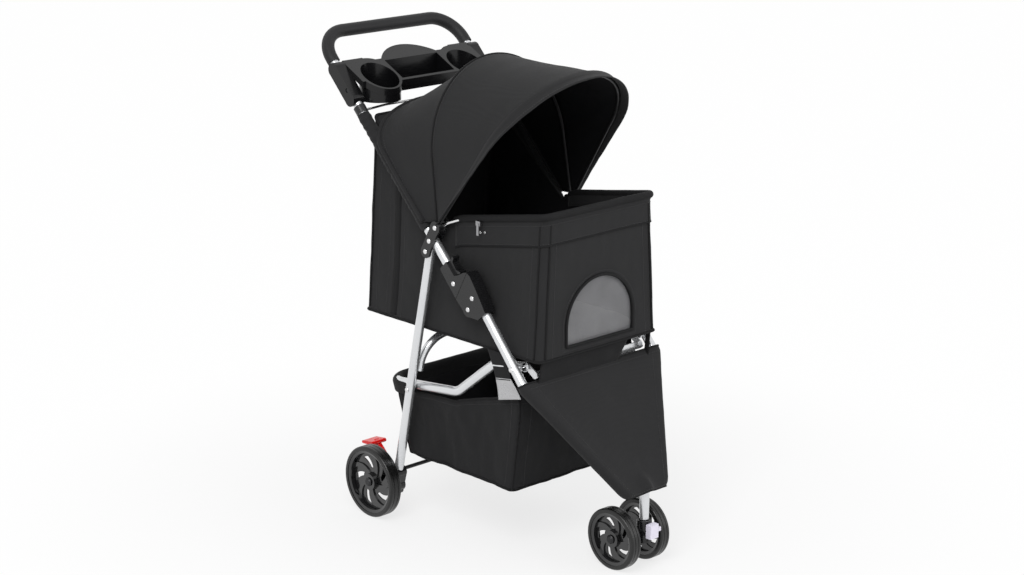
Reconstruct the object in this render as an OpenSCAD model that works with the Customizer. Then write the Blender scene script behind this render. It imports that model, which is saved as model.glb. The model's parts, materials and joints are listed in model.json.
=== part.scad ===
// Pet stroller: a three-wheel folding tube frame that carries a fabric cabin, a folding canopy,
// a storage basket and a cup tray.
// Millimetres. +Z is up and the front faces -Y. The origin is on the floor, under the middle of the
// outline.
// Left is +X, the left hand of the person who pushes; right is -X.
// The feature that takes the most skill is the fold: the knuckle, the latch, the hub and the two linked
// legs.

/* [Wheels] */
// Diameter of a rear wheel over its tyre
rear_wheel_d = 150; // [140:1:160]
// Diameter of a front wheel over its tyre
front_wheel_d = 124; // [116:1:132]
// Width of a rear tyre
rear_tyre_w = 28; // [24:1:32]
// Width of a front tyre
front_tyre_w = 25; // [20:1:28]
// Height of a tyre's rubber above its rim
tyre_h = 9; // [7:0.5:12]
// Number of swirl spokes in a wheel
spoke_count = 5; // [4:1:7]
// Diameter of a wheel axle
axle_d = 8; // [6:0.5:10]
// Distance from the rear axle forward to the front axle
wheelbase = 534; // [500:1:570]
// Distance that the front axle trails behind the swivel
caster_trail = 41; // [36:1:48]

/* [Frame tubes] */
// Outside diameter of the main frame tubes
tube_d = 19; // [17:0.5:21]
// Wall of the frame tubes
tube_wall = 1.5; // [1:0.1:2]
// Distance between the middles of the two side tubes
frame_w = 356; // [340:1:380]
// Distance of the fold pivot ahead of the rear axle
fold_ahead = 282; // [270:1:295]
// Height of the fold pivot above the floor
fold_h = 500; // [485:1:515]
// Angle of the handle tubes above the floor
handle_angle = 46; // [43:0.5:49]
// Angle of the front legs above the floor
front_leg_angle = 49; // [47:0.5:51]
// Distance of the fold pivot behind the front leg's middle line
leg_offset = 25; // [24:0.5:27]
// Length of the front leg from the fold to its inward bend
front_leg_len = 196; // [185:1:205]
// Height of the front cross tube at the foot of the front legs
front_foot_h = 166; // [158:1:174]
// Distance between the middles of the front legs at their foot
front_foot_w = 104; // [90:1:120]
// Diameter of the bent brace under the cabin
brace_d = 16; // [14:0.5:18]

/* [Hub] */
// Distance from the fold pivot up the handle tube to the hub's middle rivet
hub_along = 160; // [150:1:170]
// Distance of the canopy pivot above the handle tube's middle line
canopy_pivot_up = 33; // [30:0.5:36]
// Distance of the rear leg pivot below the handle tube's middle line
leg_pivot_down = 24; // [23.5:0.5:26]
// Diameter of the rivets
rivet_d = 6; // [5:0.5:7]

/* [Linkage] */
// Distance of the rear leg's foot ahead of the rear axle
leg_foot_ahead = 52; // [46:1:58]
// Height of the rear leg's foot
leg_foot_h = 104; // [98:1:110]
// Distance from the fold down the front leg to the pivot of the basket tube
link_along = 148; // [140:1:156]
// Height at which the basket tube crosses the rear leg
link_cross_h = 291; // [280:1:300]
// Distance of the basket tube's rear end ahead of the rear axle
link_rear_ahead = 4; // [0:1:12]
// Height of the rear brace's ends on the rear legs
brace_low_h = 330; // [326:1:334]

/* [Handle] */
// Distance from the fold pivot up the handle tube to the middle of the grip
grip_along = 664; // [640:1:690]
// Diameter of the grip's foam
grip_d = 26; // [24:1:30]
// Radius of the grip's corners, to the middle of the tube
grip_bend_r = 62; // [50:1:75]
// Diameter of a cup well
cup_d = 78; // [74:1:82]
// Depth of a cup well below the tray, at its middle
cup_depth = 46; // [40:1:54]
// Angle of the tray's top above the floor
tray_tilt = 27; // [22:1:32]
// Distance from the fold pivot up the handle tube to the cups
cup_along = 527.4; // [520:0.1:535]
// Height of the tray's top above the handle tube's middle line, at the cups
cup_up = 31.1; // [29:0.1:33]

/* [Cabin] */
// Height of the cabin's floor above the pivot of the basket tube
cabin_rise = 17.3; // [12:0.1:20]
// Distance of the cabin's sides inside the middle lines of the side tubes
cabin_inset = 16; // [15.5:0.5:20]
// Distance of the cabin's front rim inside the middle lines of the side tubes
rim_inset = 34; // [28:1:40]
// Distance of the cabin's front ahead of the rear axle
cabin_ahead = 449; // [440:1:458]
// Height of the cabin's front rim
rim_h = 699; // [690:1:708]
// Thickness of the quilted fabric walls
cloth_t = 3; // [2:0.5:4]
// Width of the arched front window
window_w = 168; // [150:1:185]
// Height of the arched front window
window_h = 118; // [105:1:130]

/* [Canopy] */
// Distance of the canopy's bows outside the middle lines of the side tubes, at their pivots
bow_out = 4; // [3.5:0.1:5]
// Height of the middle bow over its pivot
mid_bow_t = 308; // [300:1:315]
// Lean of the middle bow behind upright
mid_bow_lean = 8; // [4:1:12]
// Reach of the front bow from its pivot
front_bow_t = 368; // [358:1:375]
// Lean of the front bow ahead of upright
front_bow_lean = 35; // [32:1:38]
// Reach of the brim ahead of the front bow
brim_out = 19; // [12:1:24]

/* [Basket] */
// Width of the basket
basket_w = 312; // [300:1:318]
// Height of the basket's floor
basket_h = 143; // [136:1:150]
// Distance of the basket's front foot ahead of the rear axle
basket_ahead = 370; // [362:1:378]

/* [Clearances] */
// Radial gap between a turning part and its pin
run_gap = 0.05; // [0.02:0.01:0.1]
// Gap between parts that pass each other
side_gap = 1.5; // [1:0.1:2]
// Gap between fabric and the part beside it
cloth_gap = 0.5; // [0.3:0.1:1]

/* [Hidden] */

// Facets of the bored and turned parts, of the moulded outlines and of the swept rods
round_fn = 48;
blend_fn = 32;
sweep_sides = 8;

// Side view frame: every [y, z] is worked out from the rear axle, and front_y centres the outline
side_x = frame_w / 2;
grip_dir = [cos(handle_angle), sin(handle_angle)];
fold_h_dir = [-sin(handle_angle), cos(handle_angle)];
barrel_r = 15;
lock_depth = 13;
reach_front = max(wheelbase + front_wheel_d / 2, wheelbase + caster_trail + barrel_r + lock_depth);
reach_rear = grip_along * cos(handle_angle) - fold_ahead + grip_d / 2;
axle_y = (reach_front - reach_rear) / 2;

// A point of the side view, given ahead of the rear axle and above the floor
function side_point(ahead, height) = [axle_y - ahead, height];
fold_pivot = side_point(fold_ahead, fold_h);
// A point of the side view, along the handle tube from the fold pivot and above its middle line
function handle_point(along, up) = fold_pivot + along * grip_dir + up * fold_h_dir;

leg_dir = [-cos(front_leg_angle), -sin(front_leg_angle)];
leg_up_dir = [-sin(front_leg_angle), cos(front_leg_angle)];
// A point of the side view, down the front leg from beside the fold pivot and out of its middle line
function leg_point(along, up) = fold_pivot + (leg_offset + up) * leg_up_dir + along * leg_dir;

hub_lean = 9;
canopy_pivot = handle_point(hub_along + hub_lean, canopy_pivot_up);
hub_rivet = handle_point(hub_along, 0);
rear_leg_pivot = handle_point(hub_along - hub_lean, -leg_pivot_down);
rear_leg_foot = side_point(leg_foot_ahead, leg_foot_h);
rear_leg_dir = (rear_leg_foot - rear_leg_pivot) / norm(rear_leg_foot - rear_leg_pivot);
// The rear leg's middle line at a height
function rear_leg_at(height) = rear_leg_pivot + rear_leg_dir * (height - rear_leg_pivot[1])
  / rear_leg_dir[1];
rear_axle = side_point(0, rear_wheel_d / 2);
front_axle_at = side_point(wheelbase, front_wheel_d / 2);
swivel = side_point(wheelbase + caster_trail, 0);
link_pivot = leg_point(link_along, 0);
link_cross = rear_leg_at(link_cross_h);
// Middle line of the basket tube's sides, inside the legs
link_x = side_x - tube_d - side_gap;
bow_half_w = side_x + bow_out;
cabin_h = link_pivot[1] + cabin_rise;
cabin_w = frame_w - 2 * cabin_inset;
rim_w = frame_w - 2 * rim_inset;

// Turns a side view point into space
function at_x(x, p) = [x, p[0], p[1]];
function unit(v) = v / norm(v);

// A straight round bar between two points
module rod(a, b, d) {
  v = b - a;
  translate(a) rotate([0, acos(v[2] / norm(v)), atan2(v[1], v[0])]) cylinder(h = norm(v), d = d,
    $fn = round_fn);
}

// Each straight of a bent bar stops a hair short of its bends, under a ring that joins the two
ring_half = 0.6;
ring_lift = 0.12;
ring_gap = 0.2;

module joint_ring(d) {
  translate([0, 0, -ring_half]) cylinder(h = 2 * ring_half, d = d + ring_lift, $fn = round_fn);
}

// A round bend of radius r, from +Z towards +X of its own frame; what follows it starts at its end
module bend(r, angle, d) {
  joint_ring(d);
  translate([r, 0, 0]) rotate([90, 0, 180])
    rotate_extrude(angle = angle, $fn = 2 * round_fn) translate([r, 0]) circle(d = d, $fn = round_fn);
  translate([r, 0, 0]) rotate([0, angle, 0]) translate([-r, 0, 0]) {
    joint_ring(d);
    children();
  }
}

// The direction of straight i of a path
function run_dir(points, i) = unit(points[i + 1] - points[i]);
// How sharply a path turns at corner i
function turn_angle(points, i) = acos(run_dir(points, i - 1) * run_dir(points, i));
// The side to which a path turns at corner i, square to the straight before it
function turn_side(points, i) = let (u = run_dir(points, i - 1), v = run_dir(points, i))
  unit(v - u * (u * v));
// What the bend at corner i takes off the straights beside it
function turn_trim(points, radii, i) =
  i < 1 || i > len(points) - 2 ? 0 : radii[i - 1] * tan(turn_angle(points, i) / 2);
// How far the path twists between corner i and the next one
function turn_roll(points, i) = i > len(points) - 3 ? 0 : let (
  u = run_dir(points, i),
  now = cross(u, cross(turn_side(points, i), run_dir(points, i - 1))),
  next = turn_side(points, i + 1)
) atan2(cross(now, next) * u, now * next);

// The straights and bends of a path from straight i on, each in the frame that the piece before it ends in
module path_from(points, radii, d, i) {
  len = norm(points[i + 1] - points[i]) - turn_trim(points, radii, i) - turn_trim(points, radii, i + 1);
  low = i > 0 ? ring_gap : 0;
  high = i < len(points) - 2 ? len - ring_gap : len;
  translate([0, 0, low]) cylinder(h = high - low, d = d, $fn = round_fn);
  if (i < len(points) - 2) translate([0, 0, len]) bend(radii[i], turn_angle(points, i + 1), d)
    rotate([0, 0, turn_roll(points, i + 1)]) path_from(points, radii, d, i + 1);
}

// A bar through the points of a path, with every inner corner rounded by its own radius
module bent_rod(points, radii, d) {
  x = turn_side(points, 1);
  z = run_dir(points, 0);
  y = cross(z, x);
  multmatrix([
    [x[0], y[0], z[0], points[0][0]],
    [x[1], y[1], z[1], points[0][1]],
    [x[2], y[2], z[2], points[0][2]]
  ]) path_from(points, radii, d, 0);
}

// A cross pin along X, from x0 to x1, at a side view point
module cross_pin(p, x0, x1, d) {
  translate([min(x0, x1), p[0], p[1]]) rotate([0, 90, 0]) cylinder(h = abs(x1 - x0), d = d, $fn = round_fn);
}

// Extrudes a side view outline along X, from x0 to x1
module side_slab(x0, x1) {
  translate([min(x0, x1), 0, 0]) rotate([90, 0, 90]) linear_extrude(abs(x1 - x0)) children();
}

// A flat strap in the side view, with round ends about two points
module strap_2d(p, q, rp, rq) {
  dir = unit(q - p);
  across = [-dir[1], dir[0]];
  inset = 0.98;
  translate(p) circle(r = rp, $fn = round_fn);
  translate(q) circle(r = rq, $fn = round_fn);
  polygon([p + inset * rp * across, q + inset * rq * across, q - inset * rq * across,
    p - inset * rp * across]);
}

// A dome-headed rivet along X, its head at the outer end
module rivet(p, x_in, x_out, side) {
  head_r = rivet_d * 0.85;
  cross_pin(p, side * x_in, side * x_out, rivet_d);
  translate(at_x(side * x_out, p)) rotate([0, side * 90, 0])
    rotate_extrude($fn = round_fn) polygon(concat([[0, 0]], [for (a = [0:15:90]) [head_r * cos(a),
      head_r * 0.6 * sin(a)]]));
}

/* ---- Wheels ---- */

hub_r = 17;
swirl_r_share = 0.62;

// A moulded wheel centre at x = 0, its outer face towards +X: ring, swirl spokes and hub, with a bore for
// its axle
module wheel_rim(wheel_d, width) {
  ring_r = wheel_d / 2 - tyre_h;
  inner_r = ring_r - 6;
  spoke_r = inner_r * swirl_r_share;
  spoke_w = 9;
  difference() {
    union() {
      rotate([0, 90, 0]) rotate_extrude($fn = 2 * round_fn)
        polygon([[inner_r, -width / 2 + 2], [ring_r, -width / 2], [ring_r, width / 2], [inner_r,
          width / 2 - 2]]);
      rotate([0, 90, 0]) translate([0, 0, -3]) linear_extrude(7) intersection() {
        circle(r = inner_r + 1, $fn = 2 * round_fn);
        for (i = [0:spoke_count - 1]) rotate(i * 360 / spoke_count) translate([spoke_r, 0]) difference() {
          circle(r = spoke_r + spoke_w / 2, $fn = round_fn);
          circle(r = spoke_r - spoke_w / 2, $fn = round_fn);
          translate([-2 * spoke_r, -3 * spoke_r]) square([4 * spoke_r, 3 * spoke_r]);
        }
      }
      rotate([0, 90, 0]) translate([0, 0, -width / 2 + 1]) cylinder(h = width - 2, r = hub_r,
        $fn = round_fn);
    }
    rotate([0, 90, 0]) translate([0, 0, -width]) cylinder(h = 2 * width, d = axle_d + 2 * run_gap,
      $fn = round_fn);
  }
}

// A tyre at x = 0: a round-shouldered rubber ring with tread grooves round it
module tyre(wheel_d, width) {
  ring_r = wheel_d / 2 - tyre_h;
  shoulder = 0.45 * tyre_h;
  groove = 1.2;
  r = wheel_d / 2;
  rotate([0, 90, 0]) rotate_extrude($fn = 2 * round_fn) difference() {
    union() {
      translate([ring_r, -width / 2]) square([tyre_h - shoulder, width]);
      translate([ring_r, -width / 2 + shoulder]) square([tyre_h, width - 2 * shoulder]);
      for (s = [-1, 1]) translate([r - shoulder, s * (width / 2 - shoulder)]) circle(r = shoulder,
        $fn = blend_fn);
    }
    for (s = [-1, 1]) translate([r - groove, s * width / 6 - groove / 2]) square([2 * groove, groove]);
  }
}

rear_wheel_x = side_x + tube_d / 2 + side_gap + rear_tyre_w / 2;
// The brackets at the feet of the rear legs, which hold the axles and the brake pedals
bracket_in = side_x - tube_d / 2 - 3;
bracket_out = side_x + tube_d / 2 + 0.3;
pedal_pivot = rear_axle + [4, 30];
fork_half_w = 26;
front_wheel_x = fork_half_w + side_gap + front_tyre_w / 2;

module rear_rim(side) {
  color("#18181a") translate(at_x(side * rear_wheel_x, rear_axle)) mirror([side < 0 ? 1 : 0, 0, 0])
    wheel_rim(rear_wheel_d, rear_tyre_w - 4);
}

module rear_tyre(side) {
  color("#101011") translate(at_x(side * rear_wheel_x, rear_axle)) tyre(rear_wheel_d, rear_tyre_w);
}

module front_rim(side) {
  color("#18181a") translate(at_x(side * front_wheel_x, front_axle_at)) mirror([side < 0 ? 1 : 0, 0, 0])
    wheel_rim(front_wheel_d, front_tyre_w - 4);
}

module front_tyre(side) {
  color("#101011") translate(at_x(side * front_wheel_x, front_axle_at)) tyre(front_wheel_d, front_tyre_w);
}

axle_cap_h = 3;

// The stub axles of the rear wheels, with domed caps
module rear_axles() {
  cap_r = 9;
  color("silver") for (side = [-1, 1]) {
    cross_pin(rear_axle, side * bracket_in, side * (rear_wheel_x + rear_tyre_w / 2 - 1), axle_d);
    translate(at_x(side * (rear_wheel_x + rear_tyre_w / 2 - 1), rear_axle)) rotate([0, side * 90, 0])
      cylinder(h = axle_cap_h, r1 = cap_r, r2 = cap_r * 0.7, $fn = round_fn);
  }
}

module front_axle() {
  end_x = front_wheel_x + front_tyre_w / 2 - 1;
  cap_r = 9;
  color("silver") {
    cross_pin(front_axle_at, -end_x, end_x, axle_d);
    for (side = [-1, 1]) translate(at_x(side * end_x, front_axle_at)) rotate([0, side * 90, 0])
      cylinder(h = axle_cap_h, r1 = cap_r, r2 = cap_r * 0.7, $fn = round_fn);
  }
}

/* ---- Caster ---- */

head_bottom = 104;
stem_d = 10;
stem_top = 150;
barrel_top = head_bottom - side_gap;
barrel_bottom = 58;
lock_low = 70;
lock_high = 98;
lock_rail_x = 6;

// The steel stem that the caster turns on, a plain pin in the head tube
module caster_stem() {
  color("silver") translate([0, swivel[0], barrel_bottom + 8]) cylinder(h = stem_top - barrel_bottom - 8,
    d = stem_d, $fn = round_fn);
}

// The black fork between the front wheels: a barrel round the stem and an arm back to the axle
module caster_fork() {
  arm_w = 30;
  color("#1c1c20") difference() {
    union() {
      translate([0, swivel[0], barrel_bottom]) cylinder(h = barrel_top - barrel_bottom, r = barrel_r,
        $fn = round_fn);
      side_slab(-arm_w / 2, arm_w / 2)
        strap_2d([swivel[0], barrel_bottom + 18], front_axle_at, 12, 13);
      cross_pin(front_axle_at, -fork_half_w, fork_half_w, 22);
    }
    translate([0, swivel[0], barrel_bottom + 8]) cylinder(h = barrel_top, d = stem_d, $fn = round_fn);
    cross_pin(front_axle_at, -2 * fork_half_w, 2 * fork_half_w, axle_d);
    for (side = [-1, 1]) translate([side * lock_rail_x - 1.5, swivel[0] - barrel_r - 1, lock_low - 8])
      cube([3, 3, lock_high - lock_low + 12]);
  }
}

// The pale sliding lock on the fork's front, with its thumb lever to the left
module caster_lock() {
  back = swivel[0] - barrel_r - 0.3;
  color("#dcd8ee") {
    translate([-11, back - lock_depth + 0.3, lock_low]) cube([22, lock_depth - 0.3, lock_high - lock_low]);
    translate([10, back - lock_depth + 2, (lock_low + lock_high) / 2 - 3]) cube([10, 8, 8]);
  }
}

/* ---- Front frame ---- */

front_leg_bend = leg_point(front_leg_len, 0);
foot_y = swivel[0];
front_foot = [foot_y, front_foot_h];
foot_bend_r = 34;
leg_bend_r = 60;
leg_top = 24;
leg_rivet_at = leg_point(-11, 0);
// The cheeks of the fold, and the tongue between them
cheek_in = side_x - tube_d / 2 - 4;
cheek_out = side_x + tube_d / 2 + 4;
tongue_half = tube_d / 2 - 0.5;

module front_leg_path(d, extra) {
  top = leg_point(-leg_top - extra, 0);
  bent_rod([
    at_x(-side_x, top), at_x(-side_x, front_leg_bend), at_x(-front_foot_w / 2, front_foot),
    at_x(front_foot_w / 2, front_foot), at_x(side_x, front_leg_bend), at_x(side_x, top)
  ], [leg_bend_r, foot_bend_r, foot_bend_r, leg_bend_r], d);
}

// The one bent tube that is both front legs and the cross piece at their foot
module front_leg_tube() {
  color("gainsboro") difference() {
    front_leg_path(tube_d, 0);
    front_leg_path(tube_d - 2 * tube_wall, 1);
    translate([0, foot_y, front_foot_h - tube_d]) cylinder(h = 2 * tube_d, d = tube_d + 2 * run_gap,
      $fn = round_fn);
    for (side = [-1, 1]) {
      cross_pin(leg_rivet_at, side * (side_x - tube_d), side * (side_x + tube_d), rivet_d + 2 * run_gap);
      cross_pin(link_pivot, side * (side_x - tube_d), side * (side_x + tube_d), rivet_d + 2 * run_gap);
    }
  }
}

head_top = front_foot_h + tube_d / 2 + 3;

// The steering head, welded through the foot of the front legs
module head_tube() {
  color("gainsboro") difference() {
    translate([0, foot_y, head_bottom]) cylinder(h = head_top - head_bottom, d = tube_d, $fn = round_fn);
    translate([0, foot_y, head_bottom - 1]) cylinder(h = stem_top - head_bottom + 2,
      d = stem_d + 2 * run_gap, $fn = round_fn);
  }
}

// The lower half of the fold: a moulded housing round the top of a front leg, slotted for the knuckle's
// tongue
module fold_housing(side) {
  seam_low = handle_point(34, -15);
  seam_high = handle_point(54, 48);
  pivot_r = 15;
  slot_up = -tube_d / 2 - 2;
  color("#1b1b1d") difference() {
    union() {
      cross_pin(fold_pivot, side * cheek_in, side * cheek_out, 2 * pivot_r);
      side_slab(side * cheek_in, side * cheek_out) polygon([
        leg_point(30, 13.5), leg_point(8, 17), leg_point(-24, 21), leg_point(-48, 23), seam_high, seam_low,
        fold_pivot + pivot_r * 0.98 * [0.34, -0.94], leg_point(30, -13.5)
      ]);
    }
    side_slab(side * (side_x - tongue_half - cloth_gap), side * (side_x + tongue_half + cloth_gap))
      polygon([
      leg_point(60, slot_up), leg_point(-80, slot_up), leg_point(-80, slot_up - 80), leg_point(60,
        slot_up - 80)
    ]);
    rod(at_x(side * side_x, leg_point(-leg_top - 0.5, 0)), at_x(side * side_x, leg_point(60, 0)),
      tube_d + 2 * run_gap);
    for (p = [leg_rivet_at, fold_pivot])
      cross_pin(p, side * (cheek_in - 1), side * (cheek_out + 1), rivet_d + 2 * run_gap);
  }
}

// The fold pivots and the rivets that hold the housings on the legs
module fold_rivets() {
  color("silver") for (side = [-1, 1]) for (p = [leg_rivet_at, fold_pivot])
    rivet(p, cheek_in - 1, cheek_out, side);
}

// The rivets that the basket tube turns on, through the front legs and the brace
module link_rivets() {
  color("silver") for (side = [-1, 1]) rivet(link_pivot, link_x - tube_d / 2 - side_gap - 4,
    side_x + tube_d / 2, side);
}

brace_strap_t = 3;
brace_strap_w = 15;

// The flat steel brace across the front legs, cranked forward and down at its ends
module leg_brace() {
  strap_x = link_x - tube_d / 2 - side_gap - brace_strap_t;
  bar = link_pivot + [-22, -14];
  color("gainsboro") {
    for (side = [-1, 1]) difference() {
      side_slab(side * strap_x, side * (strap_x + brace_strap_t)) strap_2d(link_pivot, bar,
        brace_strap_w / 2, brace_strap_w / 2);
      cross_pin(link_pivot, side * (strap_x - 1), side * (strap_x + 5), rivet_d + 2 * run_gap);
    }
    translate([-strap_x - brace_strap_t, bar[0] - brace_strap_t, bar[1] - brace_strap_w / 2])
      cube([2 * (strap_x + brace_strap_t), brace_strap_t, brace_strap_w]);
  }
}

// The fabric apron stretched over the front legs, from the bend down to the foot
module apron() {
  down = unit(front_foot - front_leg_bend);
  out = [down[1], -down[0]];
  len = norm(front_foot - front_leg_bend);
  lift = tube_d / 2 + cloth_gap + cloth_t;
  top_w = frame_w;
  foot_w = front_foot_w;
  at = front_leg_bend + lift * out;
  color("#262628") difference() {
    translate(at_x(0, at)) rotate([atan2(down[1], down[0]), 0, 0]) linear_extrude(cloth_t)
      polygon([[-top_w / 2, -6], [top_w / 2, -6], [foot_w / 2, len + 10], [-foot_w / 2, len + 10]]);
    translate([0, foot_y, head_bottom]) cylinder(h = 2 * (head_top - head_bottom),
      d = tube_d + 2 * cloth_gap, $fn = round_fn);
  }
}

/* ---- Linkage and basket ---- */

link_knee_high = side_point(320, cabin_h - 30);
link_knee_low = side_point(213, link_cross_h + 18);
link_rear = side_point(link_rear_ahead, link_cross_h - 6);
link_end = 8;

module link_path(d, extra) {
  tip = link_pivot + (link_end + extra) * unit(link_pivot - link_knee_high);
  bent_rod([
    at_x(-link_x, tip), at_x(-link_x, link_knee_high), at_x(-link_x, link_knee_low), at_x(-link_x,
      link_rear),
    at_x(link_x, link_rear), at_x(link_x, link_knee_low), at_x(link_x, link_knee_high), at_x(link_x, tip)
  ], [30, 50, 42, 42, 50, 30], d);
}

// The bent tube that carries the basket and links the front legs to the rear legs
module basket_tube() {
  color("gainsboro") difference() {
    link_path(tube_d, 0);
    link_path(tube_d - 2 * tube_wall, 1);
    for (side = [-1, 1]) cross_pin(link_pivot, side * (link_x - tube_d), side * (link_x + tube_d),
      rivet_d + 2 * run_gap);
  }
}

// The spacers on the basket tube where it crosses the rear legs
module cross_spacers() {
  color("#1b1b1d") for (side = [-1, 1])
    cross_pin(link_cross, side * (link_x + tube_d / 2), side * (side_x - tube_d / 2 - cloth_gap), 15);
}

// The rivets in the rear legs where the basket tube crosses them
module cross_rivets() {
  color("silver") for (side = [-1, 1]) rivet(link_cross, side_x - tube_d / 2, side_x + tube_d / 2, side);
}

basket_rear_foot = side_point(58, basket_h);
basket_front_foot = side_point(basket_ahead, basket_h);
basket_rear_top = link_rear + [-tube_d / 2 - cloth_gap, 6];
basket_front_top = side_point(basket_ahead + 22, 344);

// A tub of the basket, shrunk by an amount on every side
module basket_tub(shrink, lid) {
  half = basket_w / 2 - shrink;
  hull() side_slab(-half, half) polygon([
    basket_front_foot + [shrink, shrink], basket_rear_foot + [-shrink, shrink],
    basket_rear_top + [-shrink, lid], basket_front_top + [shrink, lid]
  ]);
}

// The fabric storage basket, open at the top
module basket() {
  sag = side_point(213, link_cross_h);
  color("#202022") difference() {
    basket_tub(0, 0);
    basket_tub(cloth_t, 20);
    side_slab(-basket_w, basket_w) polygon([
      basket_front_top + [cloth_t, 1], sag, basket_rear_top + [-cloth_t, -16], basket_rear_top + [-cloth_t,
        60],
      basket_front_top + [cloth_t, 60]
    ]);
    for (side = [-1, 1]) side_slab(side * 118, side * 175) polygon([
      basket_rear_top + [-60, -16], basket_rear_top + [10, -16], basket_rear_top + [10, 10],
        basket_rear_top + [-60, 10]
    ]);
  }
}

/* ---- Rear legs ---- */

leg_over = 7;

// A rear leg tube, from the hub pivot to the axle bracket
module rear_leg(side) {
  top = rear_leg_pivot - leg_over * rear_leg_dir;
  color("gainsboro") difference() {
    rod(at_x(side * side_x, top), at_x(side * side_x, rear_leg_foot), tube_d);
    rod(at_x(side * side_x, top - rear_leg_dir), at_x(side * side_x, rear_leg_foot + rear_leg_dir),
      tube_d - 2 * tube_wall);
    for (p = [rear_leg_pivot, link_cross])
      cross_pin(p, side * (side_x - tube_d), side * (side_x + tube_d), rivet_d + 2 * run_gap);
  }
}

brace_low = rear_leg_at(brace_low_h);
brace_drop = 14;
brace_top_h = cabin_h - brace_d / 2 - brace_drop;
brace_bend_r = 60;

// The thin bent brace between the rear legs, arched up under the cabin
module rear_brace() {
  brace_x = side_x - tube_d / 2 - brace_d / 2;
  high = rear_leg_at(brace_top_h);
  color("gainsboro") bent_rod([at_x(-brace_x, brace_low), at_x(-brace_x, high), at_x(brace_x, high),
    at_x(brace_x, brace_low)],
    [brace_bend_r, brace_bend_r], brace_d);
}

// The thin dark rod that spreads the feet of the rear legs
module spreader_rod() {
  color("#2a2a2c") cross_pin(rear_leg_foot + [0, 2], -bracket_in, bracket_in, 8);
}

// The moulded bracket at a rear leg's foot: a socket for the leg, a boss for the axle and a lug for the
// brake
module axle_bracket(side) {
  socket_low = rear_leg_foot + 44 * rear_leg_dir;
  color("#1b1b1d") difference() {
    union() {
      side_slab(side * bracket_in, side * bracket_out)
        strap_2d(rear_leg_foot + 2 * rear_leg_dir, socket_low, tube_d / 2 + 3, 10);
      side_slab(side * bracket_in, side * bracket_out) strap_2d(socket_low - 12 * rear_leg_dir, rear_axle,
        14, 15);
      side_slab(side * bracket_in, side * bracket_out) strap_2d(rear_axle, pedal_pivot, 15, 9);
    }
    rod(at_x(side * side_x, rear_leg_foot - 30 * rear_leg_dir), at_x(side * side_x, rear_leg_foot),
      tube_d + 2 * run_gap);
    cross_pin(rear_axle, side * (bracket_in - 1), side * (bracket_out + 1), axle_d);
    cross_pin(pedal_pivot, side * (bracket_in - 1), side * (bracket_out + 1), rivet_d + 2 * run_gap);
  }
}

// A red foot pedal that locks a rear wheel: a pad on an arm that turns on the bracket
module brake_pedal(side) {
  arm_out = bracket_in - 0.5;
  arm_in = arm_out - 9;
  pad = pedal_pivot + [34, 36];
  color("red") {
    side_slab(side * arm_in, side * arm_out) strap_2d(pedal_pivot, pad, 9, 5);
    side_slab(side * (arm_in - 12), side * (arm_out + 16)) strap_2d(pad + [-8, 1], pad + [20, -2], 4, 3);
    cross_pin(pedal_pivot, side * arm_out, side * (bracket_out - 2), rivet_d);
  }
}

/* ---- Handle ---- */

tube_start = 48;
grip_start = 592;
knuckle_rivet = handle_point(60, 0);
knuckle_top = 103;

module handle_path(from, d) {
  low = handle_point(from, 0);
  top = handle_point(grip_along, 0);
  bent_rod([at_x(-side_x, low), at_x(-side_x, top), at_x(side_x, top), at_x(side_x, low)],
    [grip_bend_r, grip_bend_r], d);
}

// The one bent tube that is both handle tubes and the bar at the top
module handle_tube() {
  color("gainsboro") difference() {
    handle_path(tube_start, tube_d);
    handle_path(tube_start - 1, tube_d - 2 * tube_wall);
    for (side = [-1, 1]) for (p = [hub_rivet, knuckle_rivet])
      cross_pin(p, side * (side_x - tube_d), side * (side_x + tube_d), rivet_d + 2 * run_gap);
  }
}

// The foam grip over the top of the handle
module grip() {
  color("#2b2b2d") difference() {
    handle_path(grip_start, grip_d);
    handle_path(grip_start - 1, tube_d + 2 * run_gap);
  }
}

cup_x = 115;
cup_at = handle_point(cup_along, cup_up);
cup_wall = 3;
plate_t = 12;
// Half the size of the blocks that the tray is cut out of
tray_reach = 140;
screw_at = handle_point(cup_along - 9.4, 8);
cap_low = cup_along - 40.4;
cap_high = cup_along + 60.6;

// The tray's outline from above, about the middle line between its cups
module tray_plan() {
  for (side = [-1, 1]) {
    translate([side * cup_x, 0]) circle(r = cup_d / 2 + 9, $fn = round_fn);
    translate([side > 0 ? cup_x : -side_x + tube_d / 2 + 1, -16]) square([side_x - tube_d / 2 - 1 - cup_x,
      66]);
  }
  translate([-cup_x, -26]) square([2 * cup_x, 66]);
  translate([0, -28]) intersection() {
    circle(r = 100, $fn = 2 * round_fn);
    translate([-90, 0]) square([180, 120]);
  }
}

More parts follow.
